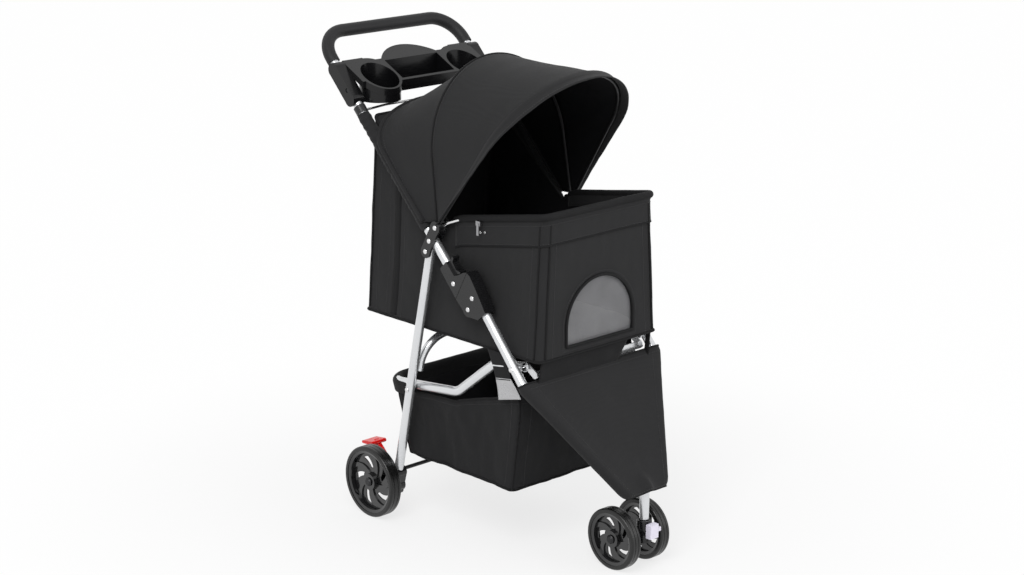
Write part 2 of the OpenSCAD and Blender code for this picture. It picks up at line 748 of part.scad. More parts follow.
// The moulded cup tray: a tilted plate with two upright cup wells, a shallow well between them and a clamp
// at each tube
module cup_tray() {
  top = cup_at[1];
  color("#1e1e20") difference() {
    union() {
      intersection() {
        union() {
          translate(at_x(0, cup_at)) rotate([tray_tilt, 0, 0]) translate([0, 0, -plate_t]) intersection() {
            translate([-side_x, -tray_reach, 0]) cube([frame_w, 2 * tray_reach, plate_t]);
            rotate([-tray_tilt, 0, 0]) translate([0, 0, -tray_reach]) linear_extrude(2 * tray_reach)
              tray_plan();
          }
          for (side = [-1, 1]) translate([side * cup_x, cup_at[0], top - cup_depth - cup_wall])
            cylinder(h = 2 * cup_depth, r = cup_d / 2 + cup_wall, $fn = 2 * round_fn);
          translate([-cup_x + cup_d / 2, cup_at[0] - 20, top - 34]) cube([2 * cup_x - cup_d, 62, 60]);
        }
        translate(at_x(0, cup_at)) rotate([tray_tilt, 0, 0]) translate([-side_x, -tray_reach, -tray_reach])
          cube([frame_w, 2 * tray_reach, tray_reach]);
      }
      for (side = [-1, 1]) side_slab(side * (side_x - tube_d / 2 - 3), side * (side_x + tube_d / 2 + 5))
        strap_2d(handle_point(cap_low + 13, 1), handle_point(cap_high - 14, 1), 14, 14);
    }
    for (side = [-1, 1]) {
      translate([side * cup_x, cup_at[0], top - cup_depth]) cylinder(h = 200, d = cup_d,
        $fn = 2 * round_fn);
      rod(at_x(side * side_x, handle_point(cap_low - 20, 0)), at_x(side * side_x,
        handle_point(cap_high + 20, 0)),
        tube_d + 2 * run_gap);
      cross_pin(screw_at, side * (side_x + tube_d / 2 + 2), side * (side_x + tube_d), 9);
    }
    translate([-cup_x + cup_d / 2 + 6, cup_at[0] - 17, top - 31]) cube([2 * cup_x - cup_d - 12, 56, 80]);
  }
}

// The screws that close the tray's clamps
module tray_screws() {
  color("#333336") for (side = [-1, 1])
    cross_pin(screw_at, side * (side_x + tube_d / 2 + 2), side * (side_x + tube_d / 2 + 3.6), 8);
}

wire_along = 473;
wire_d = 5;

// The chrome wire behind the canopy, from tube to tube
module rear_wire() {
  end = handle_point(wire_along, 0);
  rise = [0, 3];
  inner = side_x - tube_d / 2 - 0.5;
  color("silver") bent_rod([
    at_x(-inner, end), at_x(-inner + 14, end), at_x(-inner + 54, end + rise),
    at_x(inner - 54, end + rise), at_x(inner - 14, end), at_x(inner, end)
  ], [30, 60, 60, 30], wire_d);
}

// The black clips that hold the rear wire on the tubes
module wire_clips() {
  clip_r = tube_d / 2 + 3;
  color("#1b1b1d") for (side = [-1, 1]) difference() {
    rod(at_x(side * side_x, handle_point(wire_along - 8, 0)), at_x(side * side_x,
      handle_point(wire_along + 8, 0)), 2 * clip_r);
    rod(at_x(side * side_x, handle_point(wire_along - 9, 0)), at_x(side * side_x,
      handle_point(wire_along + 9, 0)), tube_d + 2 * run_gap);
    cross_pin(handle_point(wire_along, 0), 0, side * side_x, wire_d + 2 * run_gap);
  }
}

/* ---- Hub and knuckle ---- */

plate_in = side_x + tube_d / 2 + 0.4;
plate_out = plate_in + 4.5;
inner_plate_t = 2;
inner_plate_x = side_x - tube_d / 2 - 0.4;

// The hub's black plates, outside and inside the tubes
module hub_plate(side) {
  color("#1b1b1d") difference() {
    union() {
      side_slab(side * plate_in, side * plate_out) {
        strap_2d(canopy_pivot, hub_rivet, 13, 11);
        strap_2d(hub_rivet, rear_leg_pivot, 11, 13);
      }
      side_slab(side * (inner_plate_x - inner_plate_t), side * inner_plate_x) {
        strap_2d(canopy_pivot, hub_rivet, 9, 9);
        strap_2d(hub_rivet, rear_leg_pivot, 9, 9);
      }
    }
    for (p = [canopy_pivot, hub_rivet, rear_leg_pivot])
      cross_pin(p, side * (inner_plate_x - 5), side * (plate_out + 5), rivet_d + 2 * run_gap);
  }
}

// The three rivets of each hub and the one that holds each knuckle on its tube
module hub_rivets() {
  color("silver") for (side = [-1, 1]) {
    for (p = [canopy_pivot, hub_rivet, rear_leg_pivot]) rivet(p, inner_plate_x - inner_plate_t - 1,
      plate_out, side);
    rivet(knuckle_rivet, cheek_in - 1, cheek_out, side);
  }
}

// The upper half of the fold: a moulded sleeve on the handle tube's end, with a tongue down to the fold
// pivot
module fold_knuckle(side) {
  seam = 0.8;
  tongue_r = 12;
  color("#202023") difference() {
    union() {
      side_slab(side * cheek_in, side * cheek_out) polygon([
        handle_point(34 + seam, -15), handle_point(knuckle_top - 4, -13), handle_point(knuckle_top, -11),
        handle_point(knuckle_top, 12.5), handle_point(70, 12.5), handle_point(64, 26), handle_point(60, 40),
        handle_point(54 + seam, 48)
      ]);
      side_slab(side * (side_x - tongue_half), side * (side_x + tongue_half))
        strap_2d(handle_point(46, 0), fold_pivot, tongue_r, tongue_r);
    }
    rod(at_x(side * side_x, handle_point(tube_start - 0.5, 0)), at_x(side * side_x, handle_point(200, 0)),
      tube_d + 2 * run_gap);
    for (p = [knuckle_rivet, fold_pivot])
      cross_pin(p, side * (cheek_in - 1), side * (cheek_out + 1), rivet_d + 2 * run_gap);
  }
}

// The thumb latch that slides up the front of a knuckle
module fold_latch(side) {
  base = 12.8;
  half = 8;
  color("#26262a") side_slab(side * (side_x - half), side * (side_x + half)) polygon([
    handle_point(71.5, base), handle_point(99, base), handle_point(101, 22), handle_point(104, 29),
    handle_point(99, 30), handle_point(95, 22), handle_point(78, 20), handle_point(68.5, 27),
      handle_point(66, 25.5)
  ]);
}

/* ---- Cabin ---- */

cabin_front_foot = side_point(cabin_ahead, cabin_h);
cabin_rear_foot = side_point(-64, cabin_h);
cabin_front_top = side_point(cabin_ahead - 2, rim_h);
cabin_rear_along = 452;
cabin_rear_top = handle_point(cabin_rear_along, 2);
rim_dip = canopy_pivot + [-6, 2];

// The closed outer form of the cabin, shrunk by an amount on every side
module cabin_form(shrink) {
  w = cabin_w / 2 - shrink;
  rw = rim_w / 2 - shrink;
  hull() {
    translate([-w, cabin_front_foot[0] + shrink, cabin_h + shrink])
      cube([2 * w, cabin_rear_foot[0] - cabin_front_foot[0] - 2 * shrink, 0.1]);
    translate([-rw, cabin_front_top[0] + shrink, rim_h]) cube([2 * rw, 0.1, 0.1]);
    translate([-w, cabin_rear_top[0] - shrink, cabin_rear_top[1]]) cube([2 * w, 0.1, 0.1]);
  }
}

// The arched outline of the window, seen from the front, grown by an amount
module window_2d(grow) {
  r = window_w / 2;
  low = 20;
  translate([0, window_h - r + low]) intersection() {
    circle(r = r + grow, $fn = 2 * round_fn);
    translate([-r - grow, 0]) square([2 * r + 2 * grow, r + grow]);
  }
  translate([-r - grow, low - grow]) square([2 * r + 2 * grow, window_h - r + grow]);
}

// The quilted fabric cabin: a tub whose rim dips at the hubs, with an arched window in front
module cabin() {
  color("#262628") difference() {
    cabin_form(0);
    cabin_form(cloth_t);
    side_slab(-cabin_w, cabin_w) polygon([
      cabin_front_top + [-30, 0], cabin_front_top, rim_dip, cabin_rear_top, cabin_rear_top + [40, 0],
      cabin_rear_top + [40, 60], cabin_front_top + [-30, 200]
    ]);
    translate([0, cabin_front_foot[0] + 20, cabin_h]) rotate([90, 0, 0]) linear_extrude(40) window_2d(0);
  }
}

// The mesh panel sewn behind the window
module window_mesh() {
  color("#c8c8cc") translate([0, cabin_front_top[0] + cloth_t + 1.5, cabin_h]) rotate([90, 0, 0])
    linear_extrude(1) window_2d(5);
}

board_t = 4;
mat_t = 24;

// The two halves of the stiff board under the mat
module floor_board() {
  w = cabin_w / 2 - cloth_t - 4;
  y0 = cabin_front_foot[0] + cloth_t + 4;
  y1 = cabin_rear_foot[0] - cloth_t - 6;
  mid = (y0 + y1) / 2;
  color("#3a3a3c") for (part = [[y0, mid - 1], [mid + 1, y1]])
    translate([-w, part[0], cabin_h + cloth_t + 0.3]) cube([2 * w, part[1] - part[0], board_t]);
}

// The soft pale mat on the board
module floor_mat() {
  w = cabin_w / 2 - cloth_t - 8;
  y0 = cabin_front_foot[0] + cloth_t + 8;
  y1 = cabin_rear_foot[0] - cloth_t - 12;
  color("#efefec") translate([-w, y0, cabin_h + cloth_t + board_t + 0.6]) cube([2 * w, y1 - y0, mat_t]);
}

rim_bar_d = 7;

// The steel bar in the cabin's rim, bolted to the hubs
module rim_bar() {
  lift = [0, rim_bar_d / 2 + cloth_gap];
  side_in = side_x - 6.2;
  past_hub = canopy_pivot + [-16, 10];
  turn = canopy_pivot + [-42, 16] + lift;
  wall_x = rim_w / 2 + 4;
  eye_r = 7;
  color("silver") difference() {
    union() {
      bent_rod([
        at_x(-side_in, canopy_pivot), at_x(-side_in, past_hub), at_x(-wall_x - 6, turn), at_x(-rim_w / 2,
          cabin_front_top + lift),
        at_x(rim_w / 2, cabin_front_top + lift), at_x(wall_x + 6, turn), at_x(side_in, past_hub),
        at_x(side_in, canopy_pivot)
      ], [8, 12, 24, 24, 12, 8], rim_bar_d);
      for (side = [-1, 1]) cross_pin(canopy_pivot, side * (side_in - 2), side * (side_in + 2), 2 * eye_r);
    }
    for (side = [-1, 1]) cross_pin(canopy_pivot, side * (side_in - 20), side * (side_in + 20),
      rivet_d + 2 * run_gap);
  }
}

zip_ahead = 92.6;
zip_rise = 19.5;

// The zip's slider and its pull, on the right side of the rim
module zip_slider() {
  at = canopy_pivot + [-zip_ahead, zip_rise];
  x = -rim_w / 2 - 16;
  color("silver") {
    translate([x - 4, at[0] - 6, at[1] - 3]) cube([4, 12, 9]);
    translate([x - 5, at[0] - 3, at[1] - 22]) cube([1.5, 6, 24]);
  }
}

/* ---- Canopy ---- */

bow_d = 5.6;
bow_steps = 12;
leg_steps = 3;

// Half widths and straight lengths of the bows: at the pivot, where the arch starts, the height of that
// point
mid_x = bow_half_w - 3.8;
mid_arch_x = 174;
mid_straight = 130;
front_x = bow_half_w + 2.8;
front_arch_x = 167;
front_straight = 200;

// One side view curve of the canopy as [x, t] points, right foot to left foot, from the height t0
function arch(x0, x1, straight, reach, t0) = concat(
  [for (i = [0:leg_steps - 1]) let (k = i / leg_steps, t = t0 + (straight - t0) * k) [-(x0 + (x1 - x0)
    * t / straight), t]],
  [for (i = [0:2 * bow_steps]) let (a = i * 90 / bow_steps) [-x1 * cos(a), straight + (reach - straight)
    * sin(a)]],
  [for (i = [leg_steps - 1:-1:0]) let (k = i / leg_steps, t = t0 + (straight - t0) * k) [x0 + (x1 - x0)
    * t / straight, t]]
);

// Stands a canopy curve up about the canopy pivot, leaning back from upright
function lean(points, angle) =
  [for (p = points) at_x(p[0], canopy_pivot + p[1] * [sin(angle), cos(angle)])];

// Any direction of the side view that no bow runs along serves to set out the rings of a swept rod
canopy_axis = [cos(20), -sin(20)];

// A round rod swept along a list of points
module swept_rod(points, d) {
  n = len(points);
  m = sweep_sides;
  rings = [for (i = [0:n - 1]) let (
    dir = unit(points[min(i + 1, n - 1)] - points[max(i - 1, 0)]),
    side_a = unit(cross(dir, [0, canopy_axis[0], canopy_axis[1]])),
    side_b = cross(dir, side_a)
  ) for (k = [0:m - 1]) points[i] + d / 2 * (cos(k * 360 / m) * side_a + sin(k * 360 / m) * side_b)];
  faces = concat(
    [[for (k = [0:m - 1]) k]],
    [[for (k = [m - 1:-1:0]) (n - 1) * m + k]],
    [for (i = [0:n - 2]) for (k = [0:m - 1]) [i * m + k, (i + 1) * m + k, (i + 1) * m + (k + 1) % m,
      i * m + (k + 1) % m]]
  );
  polyhedron(rings, faces, convexity = 6);
}

module bow(x0, x1, straight, reach, angle) {
  eye_r = 8;
  difference() {
    union() {
      swept_rod(lean(arch(x0, x1, straight, reach, 0), angle), bow_d);
      for (side = [-1, 1]) cross_pin(canopy_pivot, side * (x0 - bow_d / 2), side * (x0 + bow_d / 2),
        2 * eye_r);
    }
    for (side = [-1, 1]) cross_pin(canopy_pivot, side * (x0 - 12), side * (x0 + 12), rivet_d + 2 * run_gap);
  }
}

module mid_bow() {
  color("#1b1b1d") bow(mid_x, mid_arch_x, mid_straight, mid_bow_t, mid_bow_lean);
}

module front_bow() {
  color("#1b1b1d") bow(front_x, front_arch_x, front_straight, front_bow_t, -front_bow_lean);
}

// A fabric shell between rows of outer points and rows of inner points
module cloth_shell(outer, inner) {
  rows = len(outer);
  n = len(outer[0]);
  points = concat([for (r = outer) each r], [for (r = inner) each r]);
  off = rows * n;
  function quad(a, b, c, d) = [[a, b, c], [a, c, d]];
  faces = concat(
    [for (r = [0:rows - 2]) for (i = [0:n - 2]) each quad(r * n + i, r * n + i + 1, (r + 1) * n + i + 1,
      (r + 1) * n + i)],
    [for (r = [0:rows - 2]) for (i = [0:n - 2])
      each quad(off + r * n + i, off + (r + 1) * n + i, off + (r + 1) * n + i + 1, off + r * n + i + 1)],
    [for (i = [0:n - 2]) each quad(i + 1, i, off + i, off + i + 1)],
    [for (i = [0:n - 2]) each quad((rows - 1) * n + i, (rows - 1) * n + i + 1, off + (rows - 1)
      * n + i + 1, off + (rows - 1) * n + i)],
    [for (r = [0:rows - 2]) each quad(r * n, (r + 1) * n, off + (r + 1) * n, off + r * n)],
    [for (r = [0:rows - 2]) each quad((r + 1) * n + n - 1, r * n + n - 1, off + r * n + n - 1,
      off + (r + 1) * n + n - 1)]
  );
  polyhedron(points, faces, convexity = 6);
}

// Blends two rows of points
function between(a, b, k) = [for (i = [0:len(a) - 1]) a[i] * (1 - k) + b[i] * k];
// Three rows from one curve to another
function rows(a, b) = [a, between(a, b, 0.5), b];

foot_t = 20;
cover = bow_d / 2 + cloth_gap;
cloth_edge = 1;

// A canopy curve over a bow, on the fabric's outer face (skin 0) or inner face (skin cloth_t)
function over_bow(x0, x1, straight, reach, angle, skin) =
  lean(arch(x0 + cover + cloth_t - skin, x1 + cover + cloth_t - skin, straight,
    reach + cover + cloth_t - skin, foot_t), angle);
function mid_edge(angle, skin) = over_bow(mid_x, mid_arch_x, mid_straight, mid_bow_t, angle, skin);
function front_edge(angle, skin) = over_bow(front_x, front_arch_x, front_straight, front_bow_t, angle,
  skin);

// The canopy's rear edge, outside the handle tubes and over the rear wire
rear_edge_x = side_x + tube_d / 2 + 4 + cloth_t;
function rear_edge(skin) =
  [for (p = arch(rear_edge_x - skin, rear_edge_x - skin, 200, 302 - skin, foot_t + 26))
    at_x(p[0], handle_point(hub_along + hub_lean + p[1], 13))];
// The brim's edge rises a little over the bow
brim_rise = 3;
brim_angle = brim_out / front_bow_t * 180 / PI;
function visor_edge(skin) =
  over_bow(front_x, front_arch_x, front_straight, front_bow_t + brim_rise, -front_bow_lean - brim_angle,
    skin);

// The canopy's rear panel, from the handle to the middle bow
module canopy_rear() {
  color("#242426") cloth_shell(rows(rear_edge(0), mid_edge(mid_bow_lean + cloth_edge, 0)),
    rows(rear_edge(cloth_t), mid_edge(mid_bow_lean + cloth_edge, cloth_t)));
}

// The canopy's top panel, between the bows
module canopy_top() {
  color("#262628") cloth_shell(rows(mid_edge(mid_bow_lean - cloth_edge, 0),
    front_edge(-front_bow_lean + cloth_edge, 0)),
    rows(mid_edge(mid_bow_lean - cloth_edge, cloth_t), front_edge(-front_bow_lean + cloth_edge, cloth_t)));
}

// The brim in front of the front bow
module canopy_visor() {
  color("#242426") cloth_shell(rows(front_edge(-front_bow_lean - cloth_edge, 0), visor_edge(0)),
    rows(front_edge(-front_bow_lean - cloth_edge, cloth_t), visor_edge(cloth_t)));
}

front_leg_tube();
head_tube();
leg_brace();
fold_housing(1);  // fold_housing_left
fold_housing(-1);  // fold_housing_right
fold_rivets();
apron();
fold_latch(1);  // latch_left
fold_latch(-1);  // latch_right
caster_stem();
caster_fork();
front_axle();
caster_lock();
front_rim(1);  // front_rim_left
front_rim(-1);  // front_rim_right
front_tyre(1);  // front_tyre_left
front_tyre(-1);  // front_tyre_right
basket_tube();
basket();
link_rivets();
cross_spacers();
cross_rivets();
rear_leg(1);  // rear_leg_left
rear_leg(-1);  // rear_leg_right
rear_brace();
spreader_rod();
axle_bracket(1);  // axle_bracket_left
axle_bracket(-1);  // axle_bracket_right
rear_axles();
brake_pedal(1);  // brake_pedal_left
brake_pedal(-1);  // brake_pedal_right
rear_rim(1);  // rear_rim_left
rear_rim(-1);  // rear_rim_right
rear_tyre(1);  // rear_tyre_left
rear_tyre(-1);  // rear_tyre_right
handle_tube();
grip();
cup_tray();
tray_screws();
wire_clips();
hub_plate(1);  // hub_plate_left
hub_plate(-1);  // hub_plate_right
hub_rivets();
fold_knuckle(1);  // fold_knuckle_left
fold_knuckle(-1);  // fold_knuckle_right
rim_bar();
rear_wire();
cabin();
window_mesh();
floor_board();
floor_mat();
zip_slider();
mid_bow();
front_bow();
canopy_rear();
canopy_top();
canopy_visor();
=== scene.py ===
import json
import math

import bpy
import numpy as np
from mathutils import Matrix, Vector, noise


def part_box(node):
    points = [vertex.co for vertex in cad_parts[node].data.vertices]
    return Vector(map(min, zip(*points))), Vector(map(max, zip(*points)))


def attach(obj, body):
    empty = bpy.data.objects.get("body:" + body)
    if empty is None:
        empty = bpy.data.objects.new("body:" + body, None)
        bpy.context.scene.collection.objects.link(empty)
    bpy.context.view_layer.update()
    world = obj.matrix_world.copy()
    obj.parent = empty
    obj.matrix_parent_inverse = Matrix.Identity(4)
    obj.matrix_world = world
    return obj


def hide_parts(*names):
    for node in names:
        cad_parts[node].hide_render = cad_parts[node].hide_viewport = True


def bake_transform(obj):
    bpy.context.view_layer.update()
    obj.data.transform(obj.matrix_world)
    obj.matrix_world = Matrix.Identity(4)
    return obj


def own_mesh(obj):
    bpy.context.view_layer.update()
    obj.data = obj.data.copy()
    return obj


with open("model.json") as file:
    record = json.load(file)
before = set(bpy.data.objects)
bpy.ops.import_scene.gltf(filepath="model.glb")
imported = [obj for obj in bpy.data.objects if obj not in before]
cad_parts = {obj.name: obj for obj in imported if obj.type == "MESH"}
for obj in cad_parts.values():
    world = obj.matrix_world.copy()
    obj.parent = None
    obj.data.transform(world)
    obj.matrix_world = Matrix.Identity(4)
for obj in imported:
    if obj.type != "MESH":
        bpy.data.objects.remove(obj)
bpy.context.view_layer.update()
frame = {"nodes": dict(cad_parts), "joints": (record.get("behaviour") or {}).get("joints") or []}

nodes = frame["nodes"]
joints = {joint["name"]: joint for joint in frame["joints"]}

# A folding pet stroller: silver tubes, black mouldings, a charcoal cabin, canopy, apron and basket.
# Everything is in metres. The front faces -Y, left is +X and the origin is on the floor.

# ---- Set -------------------------------------------------------------------------------------
# A pale floor that runs out of sight, a white surround and two soft lamps over the front corner.
# The floor keeps the stroller's shadow, and its own light only lifts it to the white behind it.

camera_turn = math.radians(-43.24)
camera_rise = math.radians(15.84)
camera_away = 4.349
camera_aim = Vector((0, 0.0034, 0.4907))
back = Vector((
    math.sin(camera_turn) * math.cos(camera_rise),
    -math.cos(camera_turn) * math.cos(camera_rise),
    math.sin(camera_rise),
))
camera_data = bpy.data.cameras.new("camera")
camera_data.sensor_width = 36
camera_data.lens = 76.24
camera = bpy.data.objects.new("camera", camera_data)
camera.location = camera_aim + back * camera_away
camera.rotation_mode = "QUATERNION"
camera.rotation_quaternion = (-back).to_track_quat("-Z", "Y")
bpy.context.scene.collection.objects.link(camera)
bpy.context.scene.camera = camera
bpy.context.scene.view_settings.view_transform = "Standard"


def feed(tree, target, value):
    """Gives a node's input a number or a colour, or links another node's output to it."""
    if isinstance(value, bpy.types.NodeSocket):
        tree.links.new(value, target)
    elif value is not None:
        target.default_value = (*value, 1) if isinstance(value, tuple) else value


def maths(tree, operation, a, b=None, c=None, clamp=False):
    """One Math node; each of a, b and c is a number or a socket."""
    node = tree.nodes.new("ShaderNodeMath")
    node.operation = operation
    node.use_clamp = clamp
    for target, value in zip(node.inputs, (a, b, c)):
        feed(tree, target, value)
    return node.outputs[0]


def seen_straight(tree):
    """Where the surface is seen by the camera, in a reflection or through glass, as one mask."""
    rays = tree.nodes.new("ShaderNodeLightPath").outputs
    direct = maths(tree, "MAXIMUM", rays["Is Camera Ray"], rays["Is Glossy Ray"])
    return maths(tree, "MAXIMUM", direct, rays["Is Transmission Ray"])


def mix_shaders(tree, share, first, second, output):
    """Sends two shaders to an output node, with the second one's share of the mix."""
    mix = tree.nodes.new("ShaderNodeMixShader")
    for target, value in zip(mix.inputs, (share, first.outputs[0], second.outputs[0])):
        feed(tree, target, value)
    feed(tree, tree.nodes[output].inputs["Surface"], mix.outputs[0])


def new_material(name, settings):
    """A material, its node tree and its Principled shader with some of that shader's inputs set."""
    material = bpy.data.materials.new(name)
    material.use_nodes = True
    shader = material.node_tree.nodes["Principled BSDF"]
    for label, value in settings.items():
        feed(material.node_tree, shader.inputs[label], value)
    return material, material.node_tree, shader


surround = bpy.data.worlds.new("surround")
surround.use_nodes = True
bpy.context.scene.world = surround
sky = surround.node_tree
dim, white = sky.nodes["Background"], sky.nodes.new("ShaderNodeBackground")
for glow, strength in ((dim, 0.62), (white, 1)):
    feed(sky, glow.inputs["Color"], (1, 1, 1))
    feed(sky, glow.inputs["Strength"], strength)
mix_shaders(sky, seen_straight(sky), dim, white, "World Output")

floor_half = 14.0
floor_corners = [(x * floor_half, y * floor_half, 0) for x, y in ((-1, -1), (1, -1), (1, 1), (-1, 1))]
floor_mesh = bpy.data.meshes.new("floor")
floor_mesh.from_pydata(floor_corners, [], [(0, 1, 2, 3)])
floor = bpy.data.objects.new("floor", floor_mesh)
bpy.context.scene.collection.objects.link(floor)
floor_paint, tree, shader = new_material(
    "floor_paint", {"Base Color": (0.88, 0.88, 0.88), "Roughness": 0.9, "Specular IOR Level": 0.1})
lift = tree.nodes.new("ShaderNodeEmission")
feed(tree, lift.inputs["Color"], (1, 1, 1))
feed(tree, lift.inputs["Strength"], 1)
spread = tree.nodes.new("ShaderNodeVectorMath")
spread.operation = "LENGTH"
feed(tree, spread.inputs[0], tree.nodes.new("ShaderNodeNewGeometry").outputs["Position"])
fade = tree.nodes.new("ShaderNodeMapRange")
fade.interpolation_type = "SMOOTHSTEP"
for label, value in (("From Min", 0.30), ("From Max", 1.25), ("To Min", 0.74), ("To Max", 0.985)):
    feed(tree, fade.inputs[label], value)
feed(tree, fade.inputs["Value"], spread.outputs["Value"])
lift_share = maths(tree, "MULTIPLY", seen_straight(tree), fade.outputs["Result"])
mix_shaders(tree, lift_share, shader, lift, "Material Output")
floor_mesh.materials.append(floor_paint)

for name, place, size, power in (
        ("key_lamp", (-2.6, -1.6, 3.3), 2.2, 92), ("fill_lamp", (1.6, -3.6, 1.9), 2.4, 38)):
    data = bpy.data.lights.new(name, "AREA")
    data.shape = "SQUARE"
    data.size = size
    data.energy = power
    lamp = bpy.data.objects.new(name, data)
    lamp.location = place
    lamp.rotation_mode = "QUATERNION"
    lamp.rotation_quaternion = (camera_aim - Vector(place)).to_track_quat("-Z", "Y")
    bpy.context.scene.collection.objects.link(lamp)

# ---- Tubes ------------------------------------------------------------------------------------
# Steel tube, 19 mm, drawn and bent cold, with a silver powder coat under clear lacquer.
# The legs, the handle, the basket tube, the braces and the steering head all have this finish.


def effect(name, **inputs):
    """A node group that makes Colour, Roughness and Height, with its sockets inside."""
    group = bpy.data.node_groups.new(name, "ShaderNodeTree")
    kinds = {True: "NodeSocketColor", False: "NodeSocketFloat"}
    for label, value in inputs.items():
        kind = kinds[isinstance(value, tuple)]
        feed(group, group.interface.new_socket(label, in_out="INPUT", socket_type=kind), value)
    for label in ("Colour", "Roughness", "Height"):
        group.interface.new_socket(label, in_out="OUTPUT", socket_type=kinds[label == "Colour"])
    return group, group.nodes.new("NodeGroupInput").outputs, group.nodes.new("NodeGroupOutput").inputs


def speckle(tree, scale, detail=2.0, stretch=None, rough=0.5):
    """Noise in the object's own space, at a scale per metre, as one value from 0 to 1."""
    place = tree.nodes.new("ShaderNodeTexCoord").outputs["Object"]
    if stretch:
        mapping = tree.nodes.new("ShaderNodeMapping")
        mapping.inputs["Scale"].default_value = stretch
        feed(tree, mapping.inputs["Vector"], place)
        place = mapping.outputs["Vector"]
    node = tree.nodes.new("ShaderNodeTexNoise")
    for label, value in (("Vector", place), ("Scale", scale), ("Detail", detail), ("Roughness", rough)):
        feed(tree, node.inputs[label], value)
    return node.outputs["Fac"]


def two_tone(tree, share, dark, light):
    """A colour between dark and light, each a socket or a colour."""
    node = tree.nodes.new("ShaderNodeMix")
    node.data_type = "RGBA"
    for i, value in ((0, share), (6, dark), (7, light)):
        feed(tree, node.inputs[i], value)
    return node.outputs[2]


def relief(tree, shader, height, distance):
    """Bumps a shader's surface by a height from 0 to 1, of a distance in metres."""
    bump = tree.nodes.new("ShaderNodeBump")
    feed(tree, bump.inputs["Distance"], distance)
    feed(tree, bump.inputs["Height"], height)
    feed(tree, shader.inputs["Normal"], bump.outputs["Normal"])


# Cloudy tone, handling marks and fine scratches, for coated metal and moulded plastic
handled, given, made = effect(
    "handled_surface", Dark=(0.5, 0.5, 0.5), Light=(0.6, 0.6, 0.6), Smooth=0.25, Rough=0.4, Grain=900.0)
cloud = maths(handled, "MULTIPLY_ADD", speckle(handled, 14.0, 4.0), 1.6, -0.3, True)
marks = speckle(handled, 60.0, 3.0, (1, 1, 7))
grain = speckle(handled, given["Grain"], 1.0)
wear = maths(handled, "MULTIPLY_ADD", marks, 2.2, -0.7, True)
span = maths(handled, "SUBTRACT", given["Rough"], given["Smooth"])
feed(handled, made["Colour"], two_tone(handled, cloud, given["Dark"], given["Light"]))
feed(handled, made["Roughness"], maths(handled, "MULTIPLY_ADD", span, wear, given["Smooth"]))
feed(handled, made["Height"], maths(handled, "MULTIPLY_ADD", marks, 0.3, grain))


def finish(name, group, settings, bump, metallic=0.0, coat=0.0, specular=0.5, sheen=0.0):
    """A material whose Principled shader takes colour, roughness and relief from one effect group."""
    material, tree, shader = new_material(name, {
        "Metallic": metallic, "Coat Weight": coat, "Coat Roughness": 0.12,
        "Specular IOR Level": specular, "Sheen Weight": sheen, "Sheen Roughness": 0.5})
    node = tree.nodes.new("ShaderNodeGroup")
    node.node_tree = group
    for label, value in settings.items():
        feed(tree, node.inputs[label], value)
    feed(tree, shader.inputs["Base Color"], node.outputs["Colour"])
    feed(tree, shader.inputs["Roughness"], node.outputs["Roughness"])
    relief(tree, shader, node.outputs["Height"], bump)
    return material


def surface(name, dark, light, smooth, rough, grain, bump, **more):
    """A finish between two tones and two roughnesses, with its grain per metre."""
    settings = {"Dark": dark, "Light": light, "Smooth": smooth, "Rough": rough, "Grain": grain}
    return finish(name, handled, settings, bump, **more)


def both(*names):
    """The names of CAD nodes that come as a left and a right one."""
    return [name + side for name in names for side in ("_left", "_right")]


def dress(material, *names):
    """Gives CAD nodes a finish in every one of their material slots."""
    for name in names:
        slots = nodes[name].data.materials
        if not slots:
            slots.append(material)
        for i in range(len(slots)):
            slots[i] = material


silver_coat = surface("silver_coat", (0.66, 0.67, 0.69), (0.74, 0.75, 0.76), 0.2, 0.28, 1500.0, 0.000003,
                      metallic=0.8, coat=0.3)
dress(silver_coat, "front_leg_tube", "head_tube", "handle_tube", "basket_tube", "rear_brace", "leg_brace",
      *both("rear_leg"))

# ---- Bright steel -------------------------------------------------------------------------------
# Nickel-plated rivets, pins, the rim bar and the wire: turned or drawn, then tumbled bright. The zip's
# slider is cast zinc; the axles, the bows, the spreader and the screws are blackened.

bright_nickel = surface("bright_nickel", (0.66, 0.66, 0.67), (0.82, 0.82, 0.82), 0.12, 0.3, 2500.0, 0.00001,
                        metallic=1.0)
dress(bright_nickel, "fold_rivets", "link_rivets", "cross_rivets", "hub_rivets", "rim_bar", "rear_wire",
      "caster_stem")
dull_zinc = surface("dull_zinc", (0.30, 0.30, 0.31), (0.42, 0.42, 0.43), 0.28, 0.42, 2200.0, 0.00001,
                    metallic=1.0)
dress(dull_zinc, "zip_slider")
black_oxide = surface("black_oxide", (0.018, 0.018, 0.019), (0.035, 0.035, 0.037), 0.3, 0.5, 1800.0, 0.00002,
                      metallic=0.6)
dress(black_oxide, "spreader_rod", "tray_screws", "mid_bow", "front_bow", "front_axle", "rear_axles")

# ---- Mouldings ----------------------------------------------------------------------------------
# Glass-filled nylon: the fold housings and knuckles, hubs, brackets, fork, clips and the tray.
# The moulds leave a fine spark texture; edges that hands touch are polished by use.

